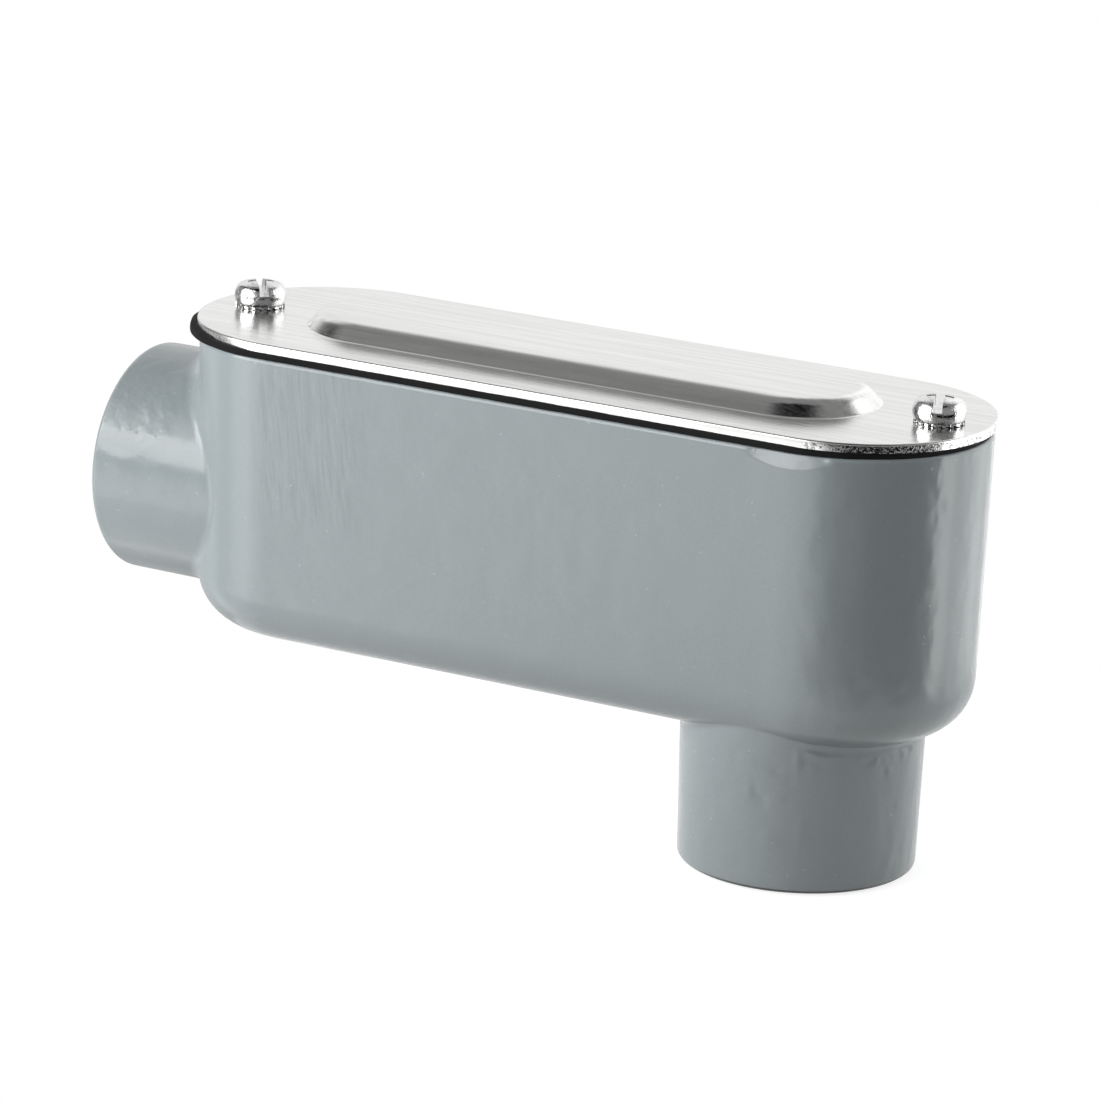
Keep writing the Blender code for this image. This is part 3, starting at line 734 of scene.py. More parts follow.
class CONDUIT_OT_cover(bpy.types.Operator):
    """Stamped cover: a sheet with a raised pan, a rolled upper edge and a torn lower edge"""

    bl_idname = "conduit.cover"
    bl_label = "Cover"

    def execute(self, context):
        sizes = context.scene.conduit_body.cover
        half_width = PLATE_HIGH.y
        spine = (PLATE_LOW.x + half_width, PLATE_HIGH.x - half_width)
        pan_half = half_width - sizes.pan_side_margin
        pan_spine = (PLATE_LOW.x + sizes.pan_end_margin + pan_half,
                     PLATE_HIGH.x - sizes.pan_end_margin - pan_half)
        low = PLATE_LOW.z
        top = low + sizes.thickness
        foot = sizes.pan_foot_round
        shoulder = sizes.pan_shoulder_round
        upper = pan_profile(foot, shoulder, sizes.pan_slope, sizes.pan_height, (6, 16))
        lower = pan_profile(foot + sizes.thickness, max(shoulder - sizes.thickness, foot),
                            sizes.pan_slope, sizes.pan_height, (6, 8))[::-1]

        plan = stadium_plan(*COVER_PLAN)
        torn_height = np.linspace(low, low + (1 - sizes.burnish) * sizes.thickness, 7)
        ragged = 1 + 0.4 * soft_noise(len(plan[1]), 29, 11, 7)
        torn = half_width - sizes.fracture * ragged * np.linspace(1, 0, 7)[:, None]
        roll = bend((half_width - sizes.rollover, top - sizes.rollover), sizes.rollover, 0,
                    math.pi / 2, 6)
        grid = np.concatenate([
            stadium_grid(plan, pan_spine, pan_half - lower[:, 0], low + lower[:, 1]),
            stadium_grid(plan, spine, torn, torn_height),
            stadium_grid(plan, spine, *roll.T),
            stadium_grid(plan, pan_spine, pan_half - upper[:, 0], top + upper[:, 1]),
        ])
        cover = add_grid("cover_sheet", grid)
        hole_radius = context.scene.conduit_body.housing.hole_radius
        carve(cover, screw_holes(hole_radius, low - OVERCUT, top + OVERCUT))
        hand_over(cover, sheet_material(context), "cover_plate", 35,
                  weighted=True)
        return {"FINISHED"}


# Screws and washers.


def head_curve(sizes, steps):
    """Barrel side and dome of a head, as radius and height over its seat.

    The side loses radius with the square of the way from its waist. The dome is part of a
    ball. Both edges are eased by taking the mean of neighbours a few times.
    """
    share_up = np.linspace(0, 1, steps)
    fall = (share_up - sizes.head_waist) / (1 - sizes.head_waist)
    side = np.column_stack([sizes.head_radius - sizes.head_barrel * fall ** 2,
                            share_up * sizes.head_side])
    edge = side[-1, 0]
    ball = (edge ** 2 + sizes.head_dome ** 2) / (2 * sizes.head_dome)
    top = sizes.head_side + sizes.head_dome
    dome = bend((0, top - ball), ball, math.acos(edge / ball), math.pi / 2, steps)[1:-1]
    seat = (side[:1] * (1, 0)) * np.linspace(0.90, 0.98, 4)[:, None]
    points = np.vstack([seat, side, dome])
    for _ in range(4):
        points[1:-1] = (points[:-2] + 2 * points[1:-1] + points[2:]) / 4
    return points


def bar_mesh(name, length, width, bottom, top, taper, angle, centre):
    """Straight cutter that runs down into the head, and may narrow as it goes."""
    corners = np.array([(-1, -1), (1, -1), (1, 1), (-1, 1)]) / 2
    way = np.array([[math.cos(angle), math.sin(angle)], [-math.sin(angle), math.cos(angle)]])
    levels = []
    for height, shrink in ((bottom, taper), (top, 0)):
        flat = (corners * (length - 2 * shrink, width - shrink / 2)) @ way + (centre, 0)
        levels.append(np.column_stack([flat, np.full(4, height)]))
    return grid_mesh(name, np.array(levels))


def make_screw(side, sizes, seat, material):
    """Barrel-headed screw: turned head, slot and cross, and a rolled thread on its shank."""
    centre = SCREW_X[side]
    top = seat + sizes.head_side + sizes.head_dome
    over = top + OVERCUT
    head = head_curve(sizes, HEAD_STEPS)
    rows = int(THREAD_ROWS * sizes.shank_length / sizes.shank_pitch)
    depth = np.linspace(sizes.shank_length, 0, rows)[:, None]
    wave = screw_wave(depth, round_angles(SCREW_STEPS, 0.5), sizes.shank_pitch, 0,
                      sizes.shank_length)
    shank = sizes.shank_radius - sizes.shank_thread / 2 + sizes.shank_thread * wave
    screw = add_grid(f"screw_{side}", np.concatenate([
        turned_grid(shank, seat - depth, SCREW_STEPS, centre),
        turned_grid(head[:, 0], seat + head[:, 1], SCREW_STEPS, centre),
    ]))
    slot_turn = sizes.left_turn if side == "left" else sizes.right_turn
    slot = bar_mesh("slot", 4 * sizes.head_radius, sizes.slot_width, top - sizes.slot_depth, over,
                    0, slot_turn, centre)
    wing = bar_mesh("wing", sizes.cross_length, sizes.cross_width, top - sizes.cross_depth, over,
                    sizes.cross_width / 2, slot_turn + math.pi / 2, centre)
    carve(screw, [("DIFFERENCE", slot), ("DIFFERENCE", wing)])
    edges = screw.modifiers.new("worn_edges", "BEVEL")
    edges.width = WORN_EDGE
    edges.segments = 2
    edges.limit_method = "ANGLE"
    edges.angle_limit = math.radians(50)
    hand_over(screw, material, f"cover_screw_{side}", 40)


def make_washer(side, sizes, hole_radius, plate_top, material):
    """Lock washer: a flat ring whose outer edge is cut into teeth, each twisted a little.

    The radius steps between root and tip with short flanks, and the height of the outer edge
    falls across each tooth.
    """
    around = sizes.washer_teeth * TOOTH_STEPS
    angle = round_angles(around)
    across = (np.arange(around) / TOOTH_STEPS) % 1
    tooth = np.clip(np.minimum(across, TOOTH_SHARE - across) / TOOTH_FLANK, 0, 1)
    twist = sizes.washer_twist * tooth * (1 - 2 * across / TOOTH_SHARE)
    bottom = plate_top + sizes.washer_twist
    top = bottom + sizes.washer_thickness
    flat = np.zeros(around)
    inner = hole_radius + flat
    root = sizes.washer_radius - sizes.washer_tooth + flat
    tip = root + sizes.washer_tooth * tooth
    radius = np.array([inner, root, tip, tip, root, inner])
    height = np.array([bottom + flat, bottom + flat, bottom + twist, top + twist, top + flat,
                       top + flat])
    grid = np.stack([SCREW_X[side] + radius * np.cos(angle), radius * np.sin(angle), height], -1)
    washer = add_grid(f"washer_{side}", grid, loop=True)
    hand_over(washer, material, f"lock_washer_{side}", 35)


class CONDUIT_OT_screws(bpy.types.Operator):
    """Two barrel-headed cover screws with a slot and a cross"""

    bl_idname = "conduit.screws"
    bl_label = "Cover screws"

    def execute(self, context):
        body = context.scene.conduit_body
        sizes = body.fastener
        material = plated_material(context)
        seat = PLATE_LOW.z + body.cover.thickness + sizes.washer_thickness + sizes.washer_twist
        for side in SIDES:
            make_screw(side, sizes, seat, material)
        return {"FINISHED"}


class CONDUIT_OT_washers(bpy.types.Operator):
    """Two external-tooth lock washers under the screws"""

    bl_idname = "conduit.washers"
    bl_label = "Lock washers"

    def execute(self, context):
        body = context.scene.conduit_body
        material = plated_material(context)
        plate_top = PLATE_LOW.z + body.cover.thickness
        for side in SIDES:
            make_washer(side, body.fastener, body.housing.hole_radius, plate_top, material)
        return {"FINISHED"}


# Finishes.

# Top of the sheared edge of the cover that may be torn, and how far the brushing is drawn out.
SHEAR_TOP = PLATE_LOW.z + 0.00105
BRUSH_STRETCH = (0.04, 1.0, 1.0)

# Blocks of space: the pebbled skin on the end hub, the flow streaks on the wall, and the two
# stretches of the cover's sheared edge that are torn.
PEBBLED = {"Low": (-0.1120, -0.0200, 0.0460), "High": (-0.0970, -0.0040, 0.0585), "Edge": 0.003}
STREAKED = {"Low": (-0.0820, -0.0300, 0.0400), "High": (-0.0600, -0.0100, 0.0700), "Edge": 0.004}
TORN_RIGHT = {"Low": (0.0060, -0.0300, 0.0600), "High": (0.0300, 0.0300, 0.0700), "Edge": 0.003}
TORN_LEFT = {"Low": (-0.1100, -0.0300, 0.0600), "High": (-0.0840, 0.0300, 0.0700), "Edge": 0.003}

# Range along X where the enamel's flow grows strong. Then three ranges for the painted shade, a dark
# line, at the down hub's mouth: where it sets in along X, where it ends above the mouth, and where it
# begins round the mouth's flat face, as the square of the distance from the hub's axis.
FLOWING = (0.0020, 0.0150)
MOUTH_SHADE_FROM_X = (-0.0110, -0.0030)
MOUTH_EDGE = (0.00066, 0.00046)
MOUTH_RIM = (0.0162 ** 2, 0.0164 ** 2)

# Distance that one unit of relief stands for on the enamel, on the sheet, and on the rest.
PAINT_RELIEF = 0.00012
SHEET_RELIEF = 0.00001
SMALL_RELIEF = 0.00005


def feed(tree, node, inputs):
    """Set the inputs of a node to values, or tie them to other sockets."""
    for label, value in inputs.items():
        if isinstance(value, bpy.types.NodeSocket):
            tree.links.new(value, node.inputs[label])
        else:
            node.inputs[label].default_value = value


def add_node(tree, kind, inputs=None, **settings):
    """New node with its settings and its inputs."""
    node = tree.nodes.new(kind)
    for label, value in settings.items():
        setattr(node, label, value)
    feed(tree, node, inputs or {})
    return node


def new_group(name, inputs):
    """Empty shader node group and what it is given. An input without a default is a vector."""
    group = bpy.data.node_groups.new(name, "ShaderNodeTree")
    for label, default in inputs.items():
        kind = "NodeSocketVector" if default is None else "NodeSocketFloat"
        socket = group.interface.new_socket(label, in_out="INPUT", socket_type=kind)
        if default is not None:
            socket.default_value = default
    return group, group.nodes.new("NodeGroupInput").outputs


def close_group(group, results):
    """Give a node group its results, which are numbers."""
    for label in results:
        group.interface.new_socket(label, in_out="OUTPUT", socket_type="NodeSocketFloat")
    feed(group, group.nodes.new("NodeGroupOutput"), results)
    return group


def add_group(tree, name, build, **inputs):
    """A node group placed in a tree. It is built once, and shared by all that ask for it."""
    shared = bpy.data.node_groups.get(name) or build(name)
    return add_node(tree, "ShaderNodeGroup", inputs, node_tree=shared).outputs


def axes(tree, vector):
    """The parts X, Y and Z of a vector."""
    return add_node(tree, "ShaderNodeSeparateXYZ", {0: vector}).outputs


def math_node(tree, operation, first, second=0.0, third=0.0):
    """Result of one sum on two or three values or sockets."""
    inputs = {0: first, 1: second, 2: third}
    return add_node(tree, "ShaderNodeMath", inputs, operation=operation).outputs[0]


def vector_node(tree, operation, first, second):
    """Result of one sum on two vectors."""
    return add_node(tree, "ShaderNodeVectorMath", {0: first, 1: second},
                    operation=operation).outputs[0]


def remap(tree, value, low, high, out_low=0.0, out_high=1.0):
    """A value carried smoothly from one range to another, and held at its ends."""
    inputs = {"Value": value, "From Min": low, "From Max": high, "To Min": out_low,
              "To Max": out_high}
    return add_node(tree, "ShaderNodeMapRange", inputs,
                    interpolation_type="SMOOTHSTEP").outputs[0]


def noise(tree, vector, scale, detail, roughness=0.5):
    """Value noise at a scale in waves for each metre."""
    inputs = {"Vector": vector, "Scale": scale, "Detail": detail, "Roughness": roughness}
    return add_node(tree, "ShaderNodeTexNoise", inputs).outputs["Fac"]


def mix_colours(tree, mask, first, second):
    """Two colours mixed by a mask."""
    inputs = {0: mask, 6: first, 7: second}
    return add_node(tree, "ShaderNodeMix", inputs, data_type="RGBA").outputs[2]


def times(colour, factor):
    """A colour made darker or lighter, with full cover."""
    return (*(min(factor * part, 1) for part in colour), 1)


def build_skin_relief(name):
    """Height of a poured or sprayed skin: slow waves, pebbles and fine grit.

    The height counts in units of the bump's distance. Mottle is the slow waves alone.
    """
    group, given = new_group(name, {"Vector": None, "Waves": 0.0, "Pebbles": 0.0, "Grit": 0.0})
    waves = noise(group, given["Vector"], 160.0, 2.0)
    pebbles = noise(group, given["Vector"], 700.0, 1.0)
    grit = noise(group, given["Vector"], 3200.0, 2.0)
    total = math_node(group, "MULTIPLY", waves, given["Waves"])
    total = math_node(group, "MULTIPLY_ADD", pebbles, given["Pebbles"], total)
    total = math_node(group, "MULTIPLY_ADD", grit, given["Grit"], total)
    return close_group(group, {"Height": total, "Mottle": waves})


def build_specks(name):
    """Mask of sparse soft specks: small cells whose centres are near, thinned by a draw."""
    group, given = new_group(name, {"Vector": None, "Scale": 1000.0, "Share": 0.2, "Radius": 0.2})
    cells = add_node(group, "ShaderNodeTexVoronoi",
                     {"Vector": given["Vector"], "Scale": given["Scale"]}).outputs
    near = remap(group, cells["Distance"], 0.0, given["Radius"], 1.0, 0.0)
    drawn = add_node(group, "ShaderNodeSeparateColor", {"Color": cells["Color"]}).outputs
    kept = math_node(group, "LESS_THAN", drawn["Red"], given["Share"])
    return close_group(group, {"Mask": math_node(group, "MULTIPLY", near, kept)})


def build_soft_region(name):
    """Mask of a block of space between two corners, which fades in over its edge."""
    group, given = new_group(name, {"Vector": None, "Low": None, "High": None, "Edge": 0.001})
    over = vector_node(group, "SUBTRACT", given["Vector"], given["Low"])
    under = vector_node(group, "SUBTRACT", given["High"], given["Vector"])
    part = axes(group, vector_node(group, "MINIMUM", over, under))
    least = math_node(group, "MINIMUM", part["X"], part["Y"])
    least = math_node(group, "MINIMUM", least, part["Z"])
    depth = math_node(group, "DIVIDE", least, given["Edge"])
    return close_group(group, {"Mask": remap(group, depth, 0.0, 1.0)})


def build_streaks(name):
    """Lines that run down a wall: noise drawn out along Z, which may lean as it climbs."""
    group, given = new_group(name, {"Vector": None, "Lean": 0.0, "Climb": 0.1, "Scale": 1000.0})
    part = axes(group, given["Vector"])
    leaning = math_node(group, "MULTIPLY_ADD", part["Z"], given["Lean"], part["X"])
    slow = math_node(group, "MULTIPLY", part["Z"], given["Climb"])
    drawn = add_node(group, "ShaderNodeCombineXYZ", {0: leaning, 1: part["Y"], 2: slow}).outputs[0]
    return close_group(group, {"Lines": noise(group, drawn, given["Scale"], 1.0)})


def build_brushed_lines(name):
    """Brushing along X: noise that is drawn out along X and fine across it."""
    group, given = new_group(name, {"Vector": None, "Fine": 3200.0, "Broad": 900.0})
    drawn = vector_node(group, "MULTIPLY", given["Vector"], BRUSH_STRETCH)
    return close_group(group, {"Lines": noise(group, drawn, given["Fine"], 3.0, 0.6),
                               "Bands": noise(group, drawn, given["Broad"], 3.0, 0.6)})


def start_material(name, colour, metallic):
    """New material with its shader, its tree and its object coordinates."""
    material = bpy.data.materials.new(name)
    material.use_nodes = True
    material.diffuse_color = (*colour, 1)
    tree = material.node_tree
    shader = tree.nodes["Principled BSDF"]
    shader.inputs["Metallic"].default_value = metallic
    place = add_node(tree, "ShaderNodeTexCoord").outputs["Object"]
    return material, tree, shader, place


def bump(tree, shader, height, distance):
    """Relief on a shader's normal, from a height in units of the distance."""
    relief = add_node(tree, "ShaderNodeBump", {"Height": height, "Distance": distance})
    feed(tree, shader, {"Normal": relief.outputs[0]})


def paint_material(context):
    """Grey enamel over a die casting: glossy, with slow waves, flow streaks and small specks, painted
    shade along the streaks, and a painted line of shade at the down hub's mouth.
    """
    colour = tuple(context.scene.conduit_body.finish.paint)
    material, tree, shader, place = start_material("grey_enamel", colour, 0.0)
    relief = add_group(tree, "skin_relief", build_skin_relief, Vector=place, Waves=1.2,
                       Pebbles=0.12, Grit=0.012)
    coarse = add_group(tree, "skin_relief", build_skin_relief, Vector=place, Waves=0.6,
                       Pebbles=0.9, Grit=0.06)
    pebbled = add_group(tree, "soft_region", build_soft_region, Vector=place, **PEBBLED)
    streaked = add_group(tree, "soft_region", build_soft_region, Vector=place, **STREAKED)
    streaks = add_group(tree, "streaks", build_streaks, Vector=place, Lean=0.13, Climb=0.11,
                        Scale=1300.0)
    flow = add_group(tree, "streaks", build_streaks, Vector=place, Climb=0.5, Scale=360.0)
    specks = add_group(tree, "specks", build_specks, Vector=place, Scale=500.0, Share=0.35,
                       Radius=0.13)
    height = math_node(tree, "MULTIPLY_ADD", coarse["Height"], pebbled["Mask"], relief["Height"])
    lines = math_node(tree, "MULTIPLY", streaks["Lines"], streaked["Mask"])
    height = math_node(tree, "MULTIPLY_ADD", lines, 0.30, height)
    part = axes(tree, place)
    flowing = remap(tree, part["X"], *FLOWING, 0.14, 1.10)
    height = math_node(tree, "MULTIPLY_ADD", flow["Lines"], flowing, height)
    height = math_node(tree, "MULTIPLY_ADD", specks["Mask"], 0.20, height)
    bump(tree, shader, height, PAINT_RELIEF)

    grain = noise(tree, place, 3400.0, 3.0, 0.75)
    mottle = math_node(tree, "MULTIPLY_ADD", relief["Mottle"], 0.12,
                       math_node(tree, "MULTIPLY", grain, 0.88))
    ground = mix_colours(tree, mottle, times(colour, 0.88), times(colour, 1.12))
    # Painted shade: the streak lines are also painted darker, for the shade in their grooves.
    painted_line_shade = math_node(tree, "MULTIPLY", remap(tree, streaks["Lines"], 0.52, 0.36),
                      streaked["Mask"])
    ground = mix_colours(tree, math_node(tree, "MULTIPLY", painted_line_shade, 0.4), ground,
                         times(colour, 0.86))
    ground = mix_colours(tree, specks["Mask"], ground, times(colour, 1.35))
    # Painted shade: the outer edge of the down hub's mouth, on its side towards +X, is painted near
    # black for the shade on that edge.
    outwards = math_node(tree, "MULTIPLY_ADD", part["X"], part["X"],
                         math_node(tree, "MULTIPLY", part["Y"], part["Y"]))
    painted_mouth_shade = math_node(tree, "MULTIPLY", remap(tree, part["Z"], *MOUTH_EDGE),
                     remap(tree, part["X"], *MOUTH_SHADE_FROM_X))
    painted_mouth_shade = math_node(tree, "MULTIPLY", painted_mouth_shade, remap(tree, outwards, *MOUTH_RIM))
    ground = mix_colours(tree, painted_mouth_shade, ground, (0.04, 0.04, 0.04, 1))
    feed(tree, shader, {"Base Color": ground,
                        "Roughness": remap(tree, grain, 0.3, 0.7, 0.15, 0.24)})
    return material


def sheet_material(context):
    """Bright sheet brushed along X, with a sheared edge that is torn and pitted in places, and
    painted shade in the pits.
    """
    colour = tuple(context.scene.conduit_body.finish.sheet)
    material, tree, shader, place = start_material("brushed_bright_sheet", colour, 1.0)
    lines = add_group(tree, "brushed_lines", build_brushed_lines, Vector=place)
    sheared = remap(tree, axes(tree, place)["Z"], SHEAR_TOP, SHEAR_TOP - 0.0001)
    right = add_group(tree, "soft_region", build_soft_region, Vector=place, **TORN_RIGHT)
    left = add_group(tree, "soft_region", build_soft_region, Vector=place, **TORN_LEFT)
    ends = math_node(tree, "MULTIPLY_ADD", left["Mask"], 0.6, right["Mask"])
    # Pits on the torn stretches of the sheared edge: dents in the relief, with painted shade, a dark
    # colour, in them.
    pits_and_painted_shade = remap(tree, noise(tree, place, 2200.0, 3.0, 0.7), 0.50, 0.40)
    pits_and_painted_shade = math_node(tree, "MULTIPLY", pits_and_painted_shade, math_node(tree, "MULTIPLY", ends, sheared))
    brushed = mix_colours(tree, remap(tree, lines["Bands"], 0.35, 0.65), times(colour, 0.90),
                          (*colour, 1))
    feed(tree, shader, {"Base Color": mix_colours(tree, pits_and_painted_shade, brushed, times(colour, 0.25)),
                        "Roughness": remap(tree, lines["Lines"], 0.3, 0.7, 0.16, 0.26)})
    relief = math_node(tree, "MULTIPLY_ADD", pits_and_painted_shade, -1.5, lines["Lines"])
    bump(tree, shader, relief, SHEET_RELIEF)
    return material


def rubber_material(context):
    """Black sheet rubber with a dull, dusty grain."""
    colour = tuple(context.scene.conduit_body.finish.rubber)
    material, tree, shader, place = start_material("black_sheet_rubber", colour, 0.0)
    relief = add_group(tree, "skin_relief", build_skin_relief, Vector=place, Waves=0.3,
                       Pebbles=0.5, Grit=0.4)
    feed(tree, shader, {
        "Base Color": mix_colours(tree, relief["Mottle"], (*colour, 1), times(colour, 2.2)),
        "Roughness": remap(tree, relief["Mottle"], 0.2, 0.8, 0.62, 0.80),
        "Specular IOR Level": 0.12,
    })
    bump(tree, shader, relief["Height"], SMALL_RELIEF)
    return material


def plated_material(context):
    """Bright zinc plating on steel: mirror-like, with a little waviness and small nicks."""
    material = bpy.data.materials.get("bright_plating")
    if material:
        return material
    colour = tuple(context.scene.conduit_body.finish.plated)
    material, tree, shader, place = start_material("bright_plating", colour, 1.0)
    relief = add_group(tree, "skin_relief", build_skin_relief, Vector=place, Waves=0.8,
                       Pebbles=1.0, Grit=0.9)
    specks = add_group(tree, "specks", build_specks, Vector=place, Scale=2600.0, Share=0.20,
                       Radius=0.40)
    patches = noise(tree, place, 1100.0, 2.0, 0.7)
    feed(tree, shader, {
        "Base Color": mix_colours(tree, specks["Mask"], (*colour, 1), times(colour, 0.40)),
        "Roughness": remap(tree, patches, 0.50, 0.62, 0.08, 0.36),
    })
    bump(tree, shader, relief["Height"], SMALL_RELIEF)
    return material


# Stage.


def build_soft_panel(name):
    """Light of one soft panel at infinity, added to the total so far.

    The panel is full where the azimuth is less than Side In from its middle and the elevation
    lies between Foot In and Head In, and fades out to nothing at Side Out, Foot Out, Head Out.
    """
    labels = ("Azimuth", "Elevation", "Total", "Middle", "Side In", "Side Out", "Foot Out",
              "Foot In", "Head In", "Head Out", "Strength")
    group, given = new_group(name, dict.fromkeys(labels, 0.0))
    away = math_node(group, "SUBTRACT", given["Azimuth"], given["Middle"])
    away = math_node(group, "ABSOLUTE", math_node(group, "WRAP", away, math.pi, -math.pi))
    side = remap(group, away, given["Side In"], given["Side Out"], 1.0, 0.0)
    foot = remap(group, given["Elevation"], given["Foot Out"], given["Foot In"])
    head = remap(group, given["Elevation"], given["Head In"], given["Head Out"], 1.0, 0.0)
    light = math_node(group, "MULTIPLY", math_node(group, "MULTIPLY", side, foot), head)
    total = math_node(group, "MULTIPLY_ADD", light, given["Strength"], given["Total"])
    return close_group(group, {"Total": total})


# Panels of the studio round the object: azimuth from -Y towards +X, half width, lower and
# upper edge and softness in degrees, then radiance.
PANELS = {
    "back": (180, 16, -34, 46, 16, 1.15),
    "back_left": (-138, 28, -6, 46, 22, 1.00),
    "back_left_low": (-132, 42, -72, -10, 16, 0.60),
    "back_right": (134, 30, -32, 42, 12, 2.00),
    "right_strip": (113, 7, -32, 20, 10, 2.20),
    "front_left": (-85, 14, -25, 34, 14, 0.35),
    "left_panel": (-58, 9, -25, 34, 16, 1.80),
    "left_panel_foot": (-43, 10, -28, 0, 10, 1.85),
    "front_low": (-24, 11, -27, -6, 12, 1.20),
    "front_low_right": (-6, 9, -27, -6, 12, 1.35),
    "floor_left": (-70, 34, -64, -26, 18, 0.90),
    "floor_front": (-16, 20, -64, -26, 18, 1.10),
    "over_key": (-36, 30, 27, 46, 20, 2.00),
    "overhead": (-164, 110, 47, 130, 22, 0.25),
    "underneath": (0, 180, -120, -58, 20, 0.90),
}
# Panel that only reflections see. It leaves the dark side of the casting dark.
MIRRORED_PANELS = {"front_right": (45, 52, 6, 46, 16, 0.30)}

# Place of the large soft box, in degrees and metres, and its size. The floor lies a little under
# the down hub's mouth.
KEY_BOX = {"azimuth": -36.0, "elevation": 19.0, "distance": 0.48, "width": 0.52, "height": 0.175}
FLOOR_GAP = 0.0002


def sum_panels(tree, azimuth, elevation, panels):
    """Light of all the panels in one direction."""
    total = 0.0
    for middle, half_width, bottom, top, edge, strength in panels.values():
        angles = {"Middle": middle, "Side In": half_width - edge / 2,
                  "Side Out": half_width + edge / 2, "Foot Out": bottom - edge / 2,
                  "Foot In": bottom + edge / 2, "Head In": top - edge / 2,
                  "Head Out": top + edge / 2}
        radians = {label: math.radians(angle) for label, angle in angles.items()}
        panel = add_group(tree, "soft_panel", build_soft_panel, Azimuth=azimuth,
                          Elevation=elevation, Total=total, Strength=strength, **radians)
        total = panel["Total"]
    return total


def build_world():
    """World of soft panels, which the camera sees as plain white."""
    world = bpy.data.worlds.new("studio")
    bpy.context.scene.world = world
    world.use_nodes = True
    tree = world.node_tree
    part = axes(tree, add_node(tree, "ShaderNodeTexCoord").outputs["Generated"])
    forward = math_node(tree, "MULTIPLY", part["Y"], -1.0)
    azimuth = math_node(tree, "ARCTAN2", part["X"], forward)
    elevation = math_node(tree, "ARCSINE", part["Z"])
    path = add_node(tree, "ShaderNodeLightPath").outputs
    total = sum_panels(tree, azimuth, elevation, PANELS)
    mirrored = sum_panels(tree, azimuth, elevation, MIRRORED_PANELS)
    total = math_node(tree, "MULTIPLY_ADD", mirrored, path["Is Glossy Ray"], total)
    light = add_node(tree, "ShaderNodeMix", {0: path["Is Camera Ray"], 2: total, 3: 1.0},
                     data_type="FLOAT")
    feed(tree, tree.nodes["Background"], {"Strength": light.outputs[0], "Color": (1, 1, 1, 1)})


def floor_material():
    """Pale floor: white to the camera and in reflections, with the object's shadow left in."""
    material = bpy.data.materials.new("pale_floor")
    material.use_nodes = True
    tree = material.node_tree
    tree.nodes.clear()
    path = add_node(tree, "ShaderNodeLightPath").outputs
    white = math_node(tree, "MAXIMUM", path["Is Glossy Ray"], path["Is Transmission Ray"])
    white = math_node(tree, "MAXIMUM", path["Is Camera Ray"], white)
    diffuse = add_node(tree, "ShaderNodeBsdfDiffuse", {"Color": (0.5, 0.5, 0.5, 1)})
    glow = add_node(tree, "ShaderNodeEmission", {
        "Color": (1, 1, 1, 1), "Strength": math_node(tree, "MULTIPLY", white, 0.8)})
    lit = add_node(tree, "ShaderNodeAddShader", {0: diffuse.outputs[0], 1: glow.outputs[0]})
    clear = add_node(tree, "ShaderNodeBsdfTransparent")
    behind = add_node(tree, "ShaderNodeNewGeometry").outputs["Backfacing"]
    either = add_node(tree, "ShaderNodeMixShader", {0: behind, 1: lit.outputs[0],
                                                    2: clear.outputs[0]})
    add_node(tree, "ShaderNodeOutputMaterial", {"Surface": either.outputs[0]})
    return material


def way_to(azimuth, elevation):
    """Unit vector out of the object: azimuth from -Y towards +X, and height over the horizon."""
    level = math.cos(elevation)
    return Vector((math.sin(azimuth) * level, -math.cos(azimuth) * level, math.sin(elevation)))


def add_soft_box(name, radiance, azimuth, elevation, distance, width, height):
    """Rectangular soft box that faces the middle of the object, with a plain radiance."""
    back = way_to(math.radians(azimuth), math.radians(elevation))
    lamp = bpy.data.lights.new(name, "AREA")
    lamp.shape = "RECTANGLE"
    lamp.size = width
    lamp.size_y = height
    lamp.energy = radiance * math.pi * width * height
    box = add_object(name, lamp)
    box.location = Vector((CAD_BOX[0] + CAD_BOX[1]) / 2) + back * distance
    box.rotation_mode = "QUATERNION"
    box.rotation_quaternion = (-back).to_track_quat("-Z", "Y")


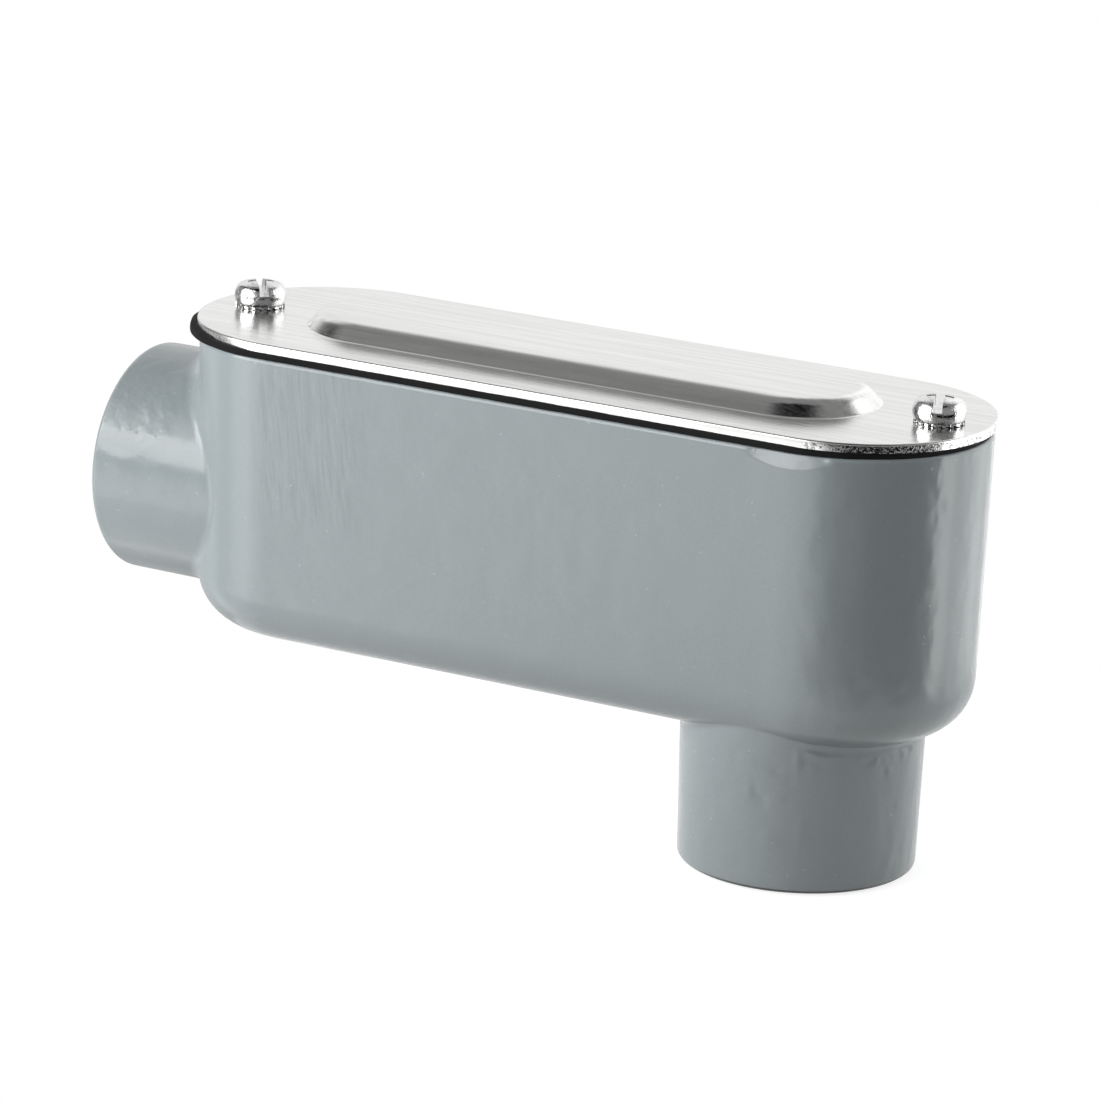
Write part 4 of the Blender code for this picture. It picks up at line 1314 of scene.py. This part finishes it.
class CONDUIT_OT_stage(bpy.types.Operator):
    """Camera, pale floor, soft box and the studio round the object"""

    bl_idname = "conduit.stage"
    bl_label = "Stage"

    def execute(self, context):
        stage = context.scene.conduit_body.stage
        back = way_to(stage.azimuth, stage.elevation)
        flat_right = Vector((math.cos(stage.azimuth), math.sin(stage.azimuth), 0))
        flat_up = back.cross(flat_right)
        right = flat_right * math.cos(stage.roll) + flat_up * math.sin(stage.roll)
        up = flat_up * math.cos(stage.roll) - flat_right * math.sin(stage.roll)
        place = Vector(stage.target) + back * stage.distance
        lens = bpy.data.cameras.new("camera")
        lens.lens = stage.lens
        lens.sensor_width = 36.0
        lens.sensor_fit = "HORIZONTAL"
        lens.clip_start = 0.05
        lens.clip_end = 20.0
        camera = add_object("camera", lens)
        turned = Matrix((right, up, back)).transposed().to_4x4()
        camera.matrix_world = Matrix.Translation(place) @ turned
        context.scene.camera = camera

        disc = bpy.data.meshes.new("floor")
        angle = round_angles(FLOOR_STEPS)
        ring = stage.floor_radius * np.column_stack([np.cos(angle), np.sin(angle), 0 * angle])
        ring[:, 2] = HOUSING_LOW.z - FLOOR_GAP
        disc.from_pydata(ring.tolist(), [], [tuple(range(FLOOR_STEPS))])
        disc.materials.append(floor_material())
        floor = add_object("floor", disc)

        add_soft_box("key", stage.key_strength, **KEY_BOX)
        build_world()
        context.scene.view_settings.view_transform = "Standard"
        return {"FINISHED"}


class CONDUIT_PT_panel(bpy.types.Panel):
    """Sizes, finishes and one button for each step"""

    bl_label = "LB Conduit Body"
    bl_idname = "CONDUIT_PT_panel"
    bl_space_type = "VIEW_3D"
    bl_region_type = "UI"
    bl_category = "Conduit"

    def draw(self, context):
        body = context.scene.conduit_body
        for step in STEPS:
            self.layout.operator(step.bl_idname)
        for label in ("housing", "cover", "fastener", "finish", "stage"):
            group = getattr(body, label)
            box = self.layout.box()
            box.label(text=label.capitalize())
            for name in group.__annotations__:
                box.prop(group, name)


STEPS = (CONDUIT_OT_housing, CONDUIT_OT_gasket, CONDUIT_OT_cover, CONDUIT_OT_screws,
         CONDUIT_OT_washers, CONDUIT_OT_stage)
CLASSES = (HousingSizes, CoverSizes, FastenerSizes, Finishes, StageSettings, ConduitBody,
           *STEPS, CONDUIT_PT_panel)


def register():
    for each in CLASSES:
        bpy.utils.register_class(each)
    bpy.types.Scene.conduit_body = PointerProperty(type=ConduitBody)


def unregister():
    del bpy.types.Scene.conduit_body
    for each in reversed(CLASSES):
        bpy.utils.unregister_class(each)


def main():
    """Build every piece and the stage."""
    register()
    bpy.ops.conduit.housing()
    bpy.ops.conduit.gasket()
    bpy.ops.conduit.cover()
    bpy.ops.conduit.screws()
    bpy.ops.conduit.washers()
    bpy.ops.conduit.stage()


if __name__ == "__main__":
    main()
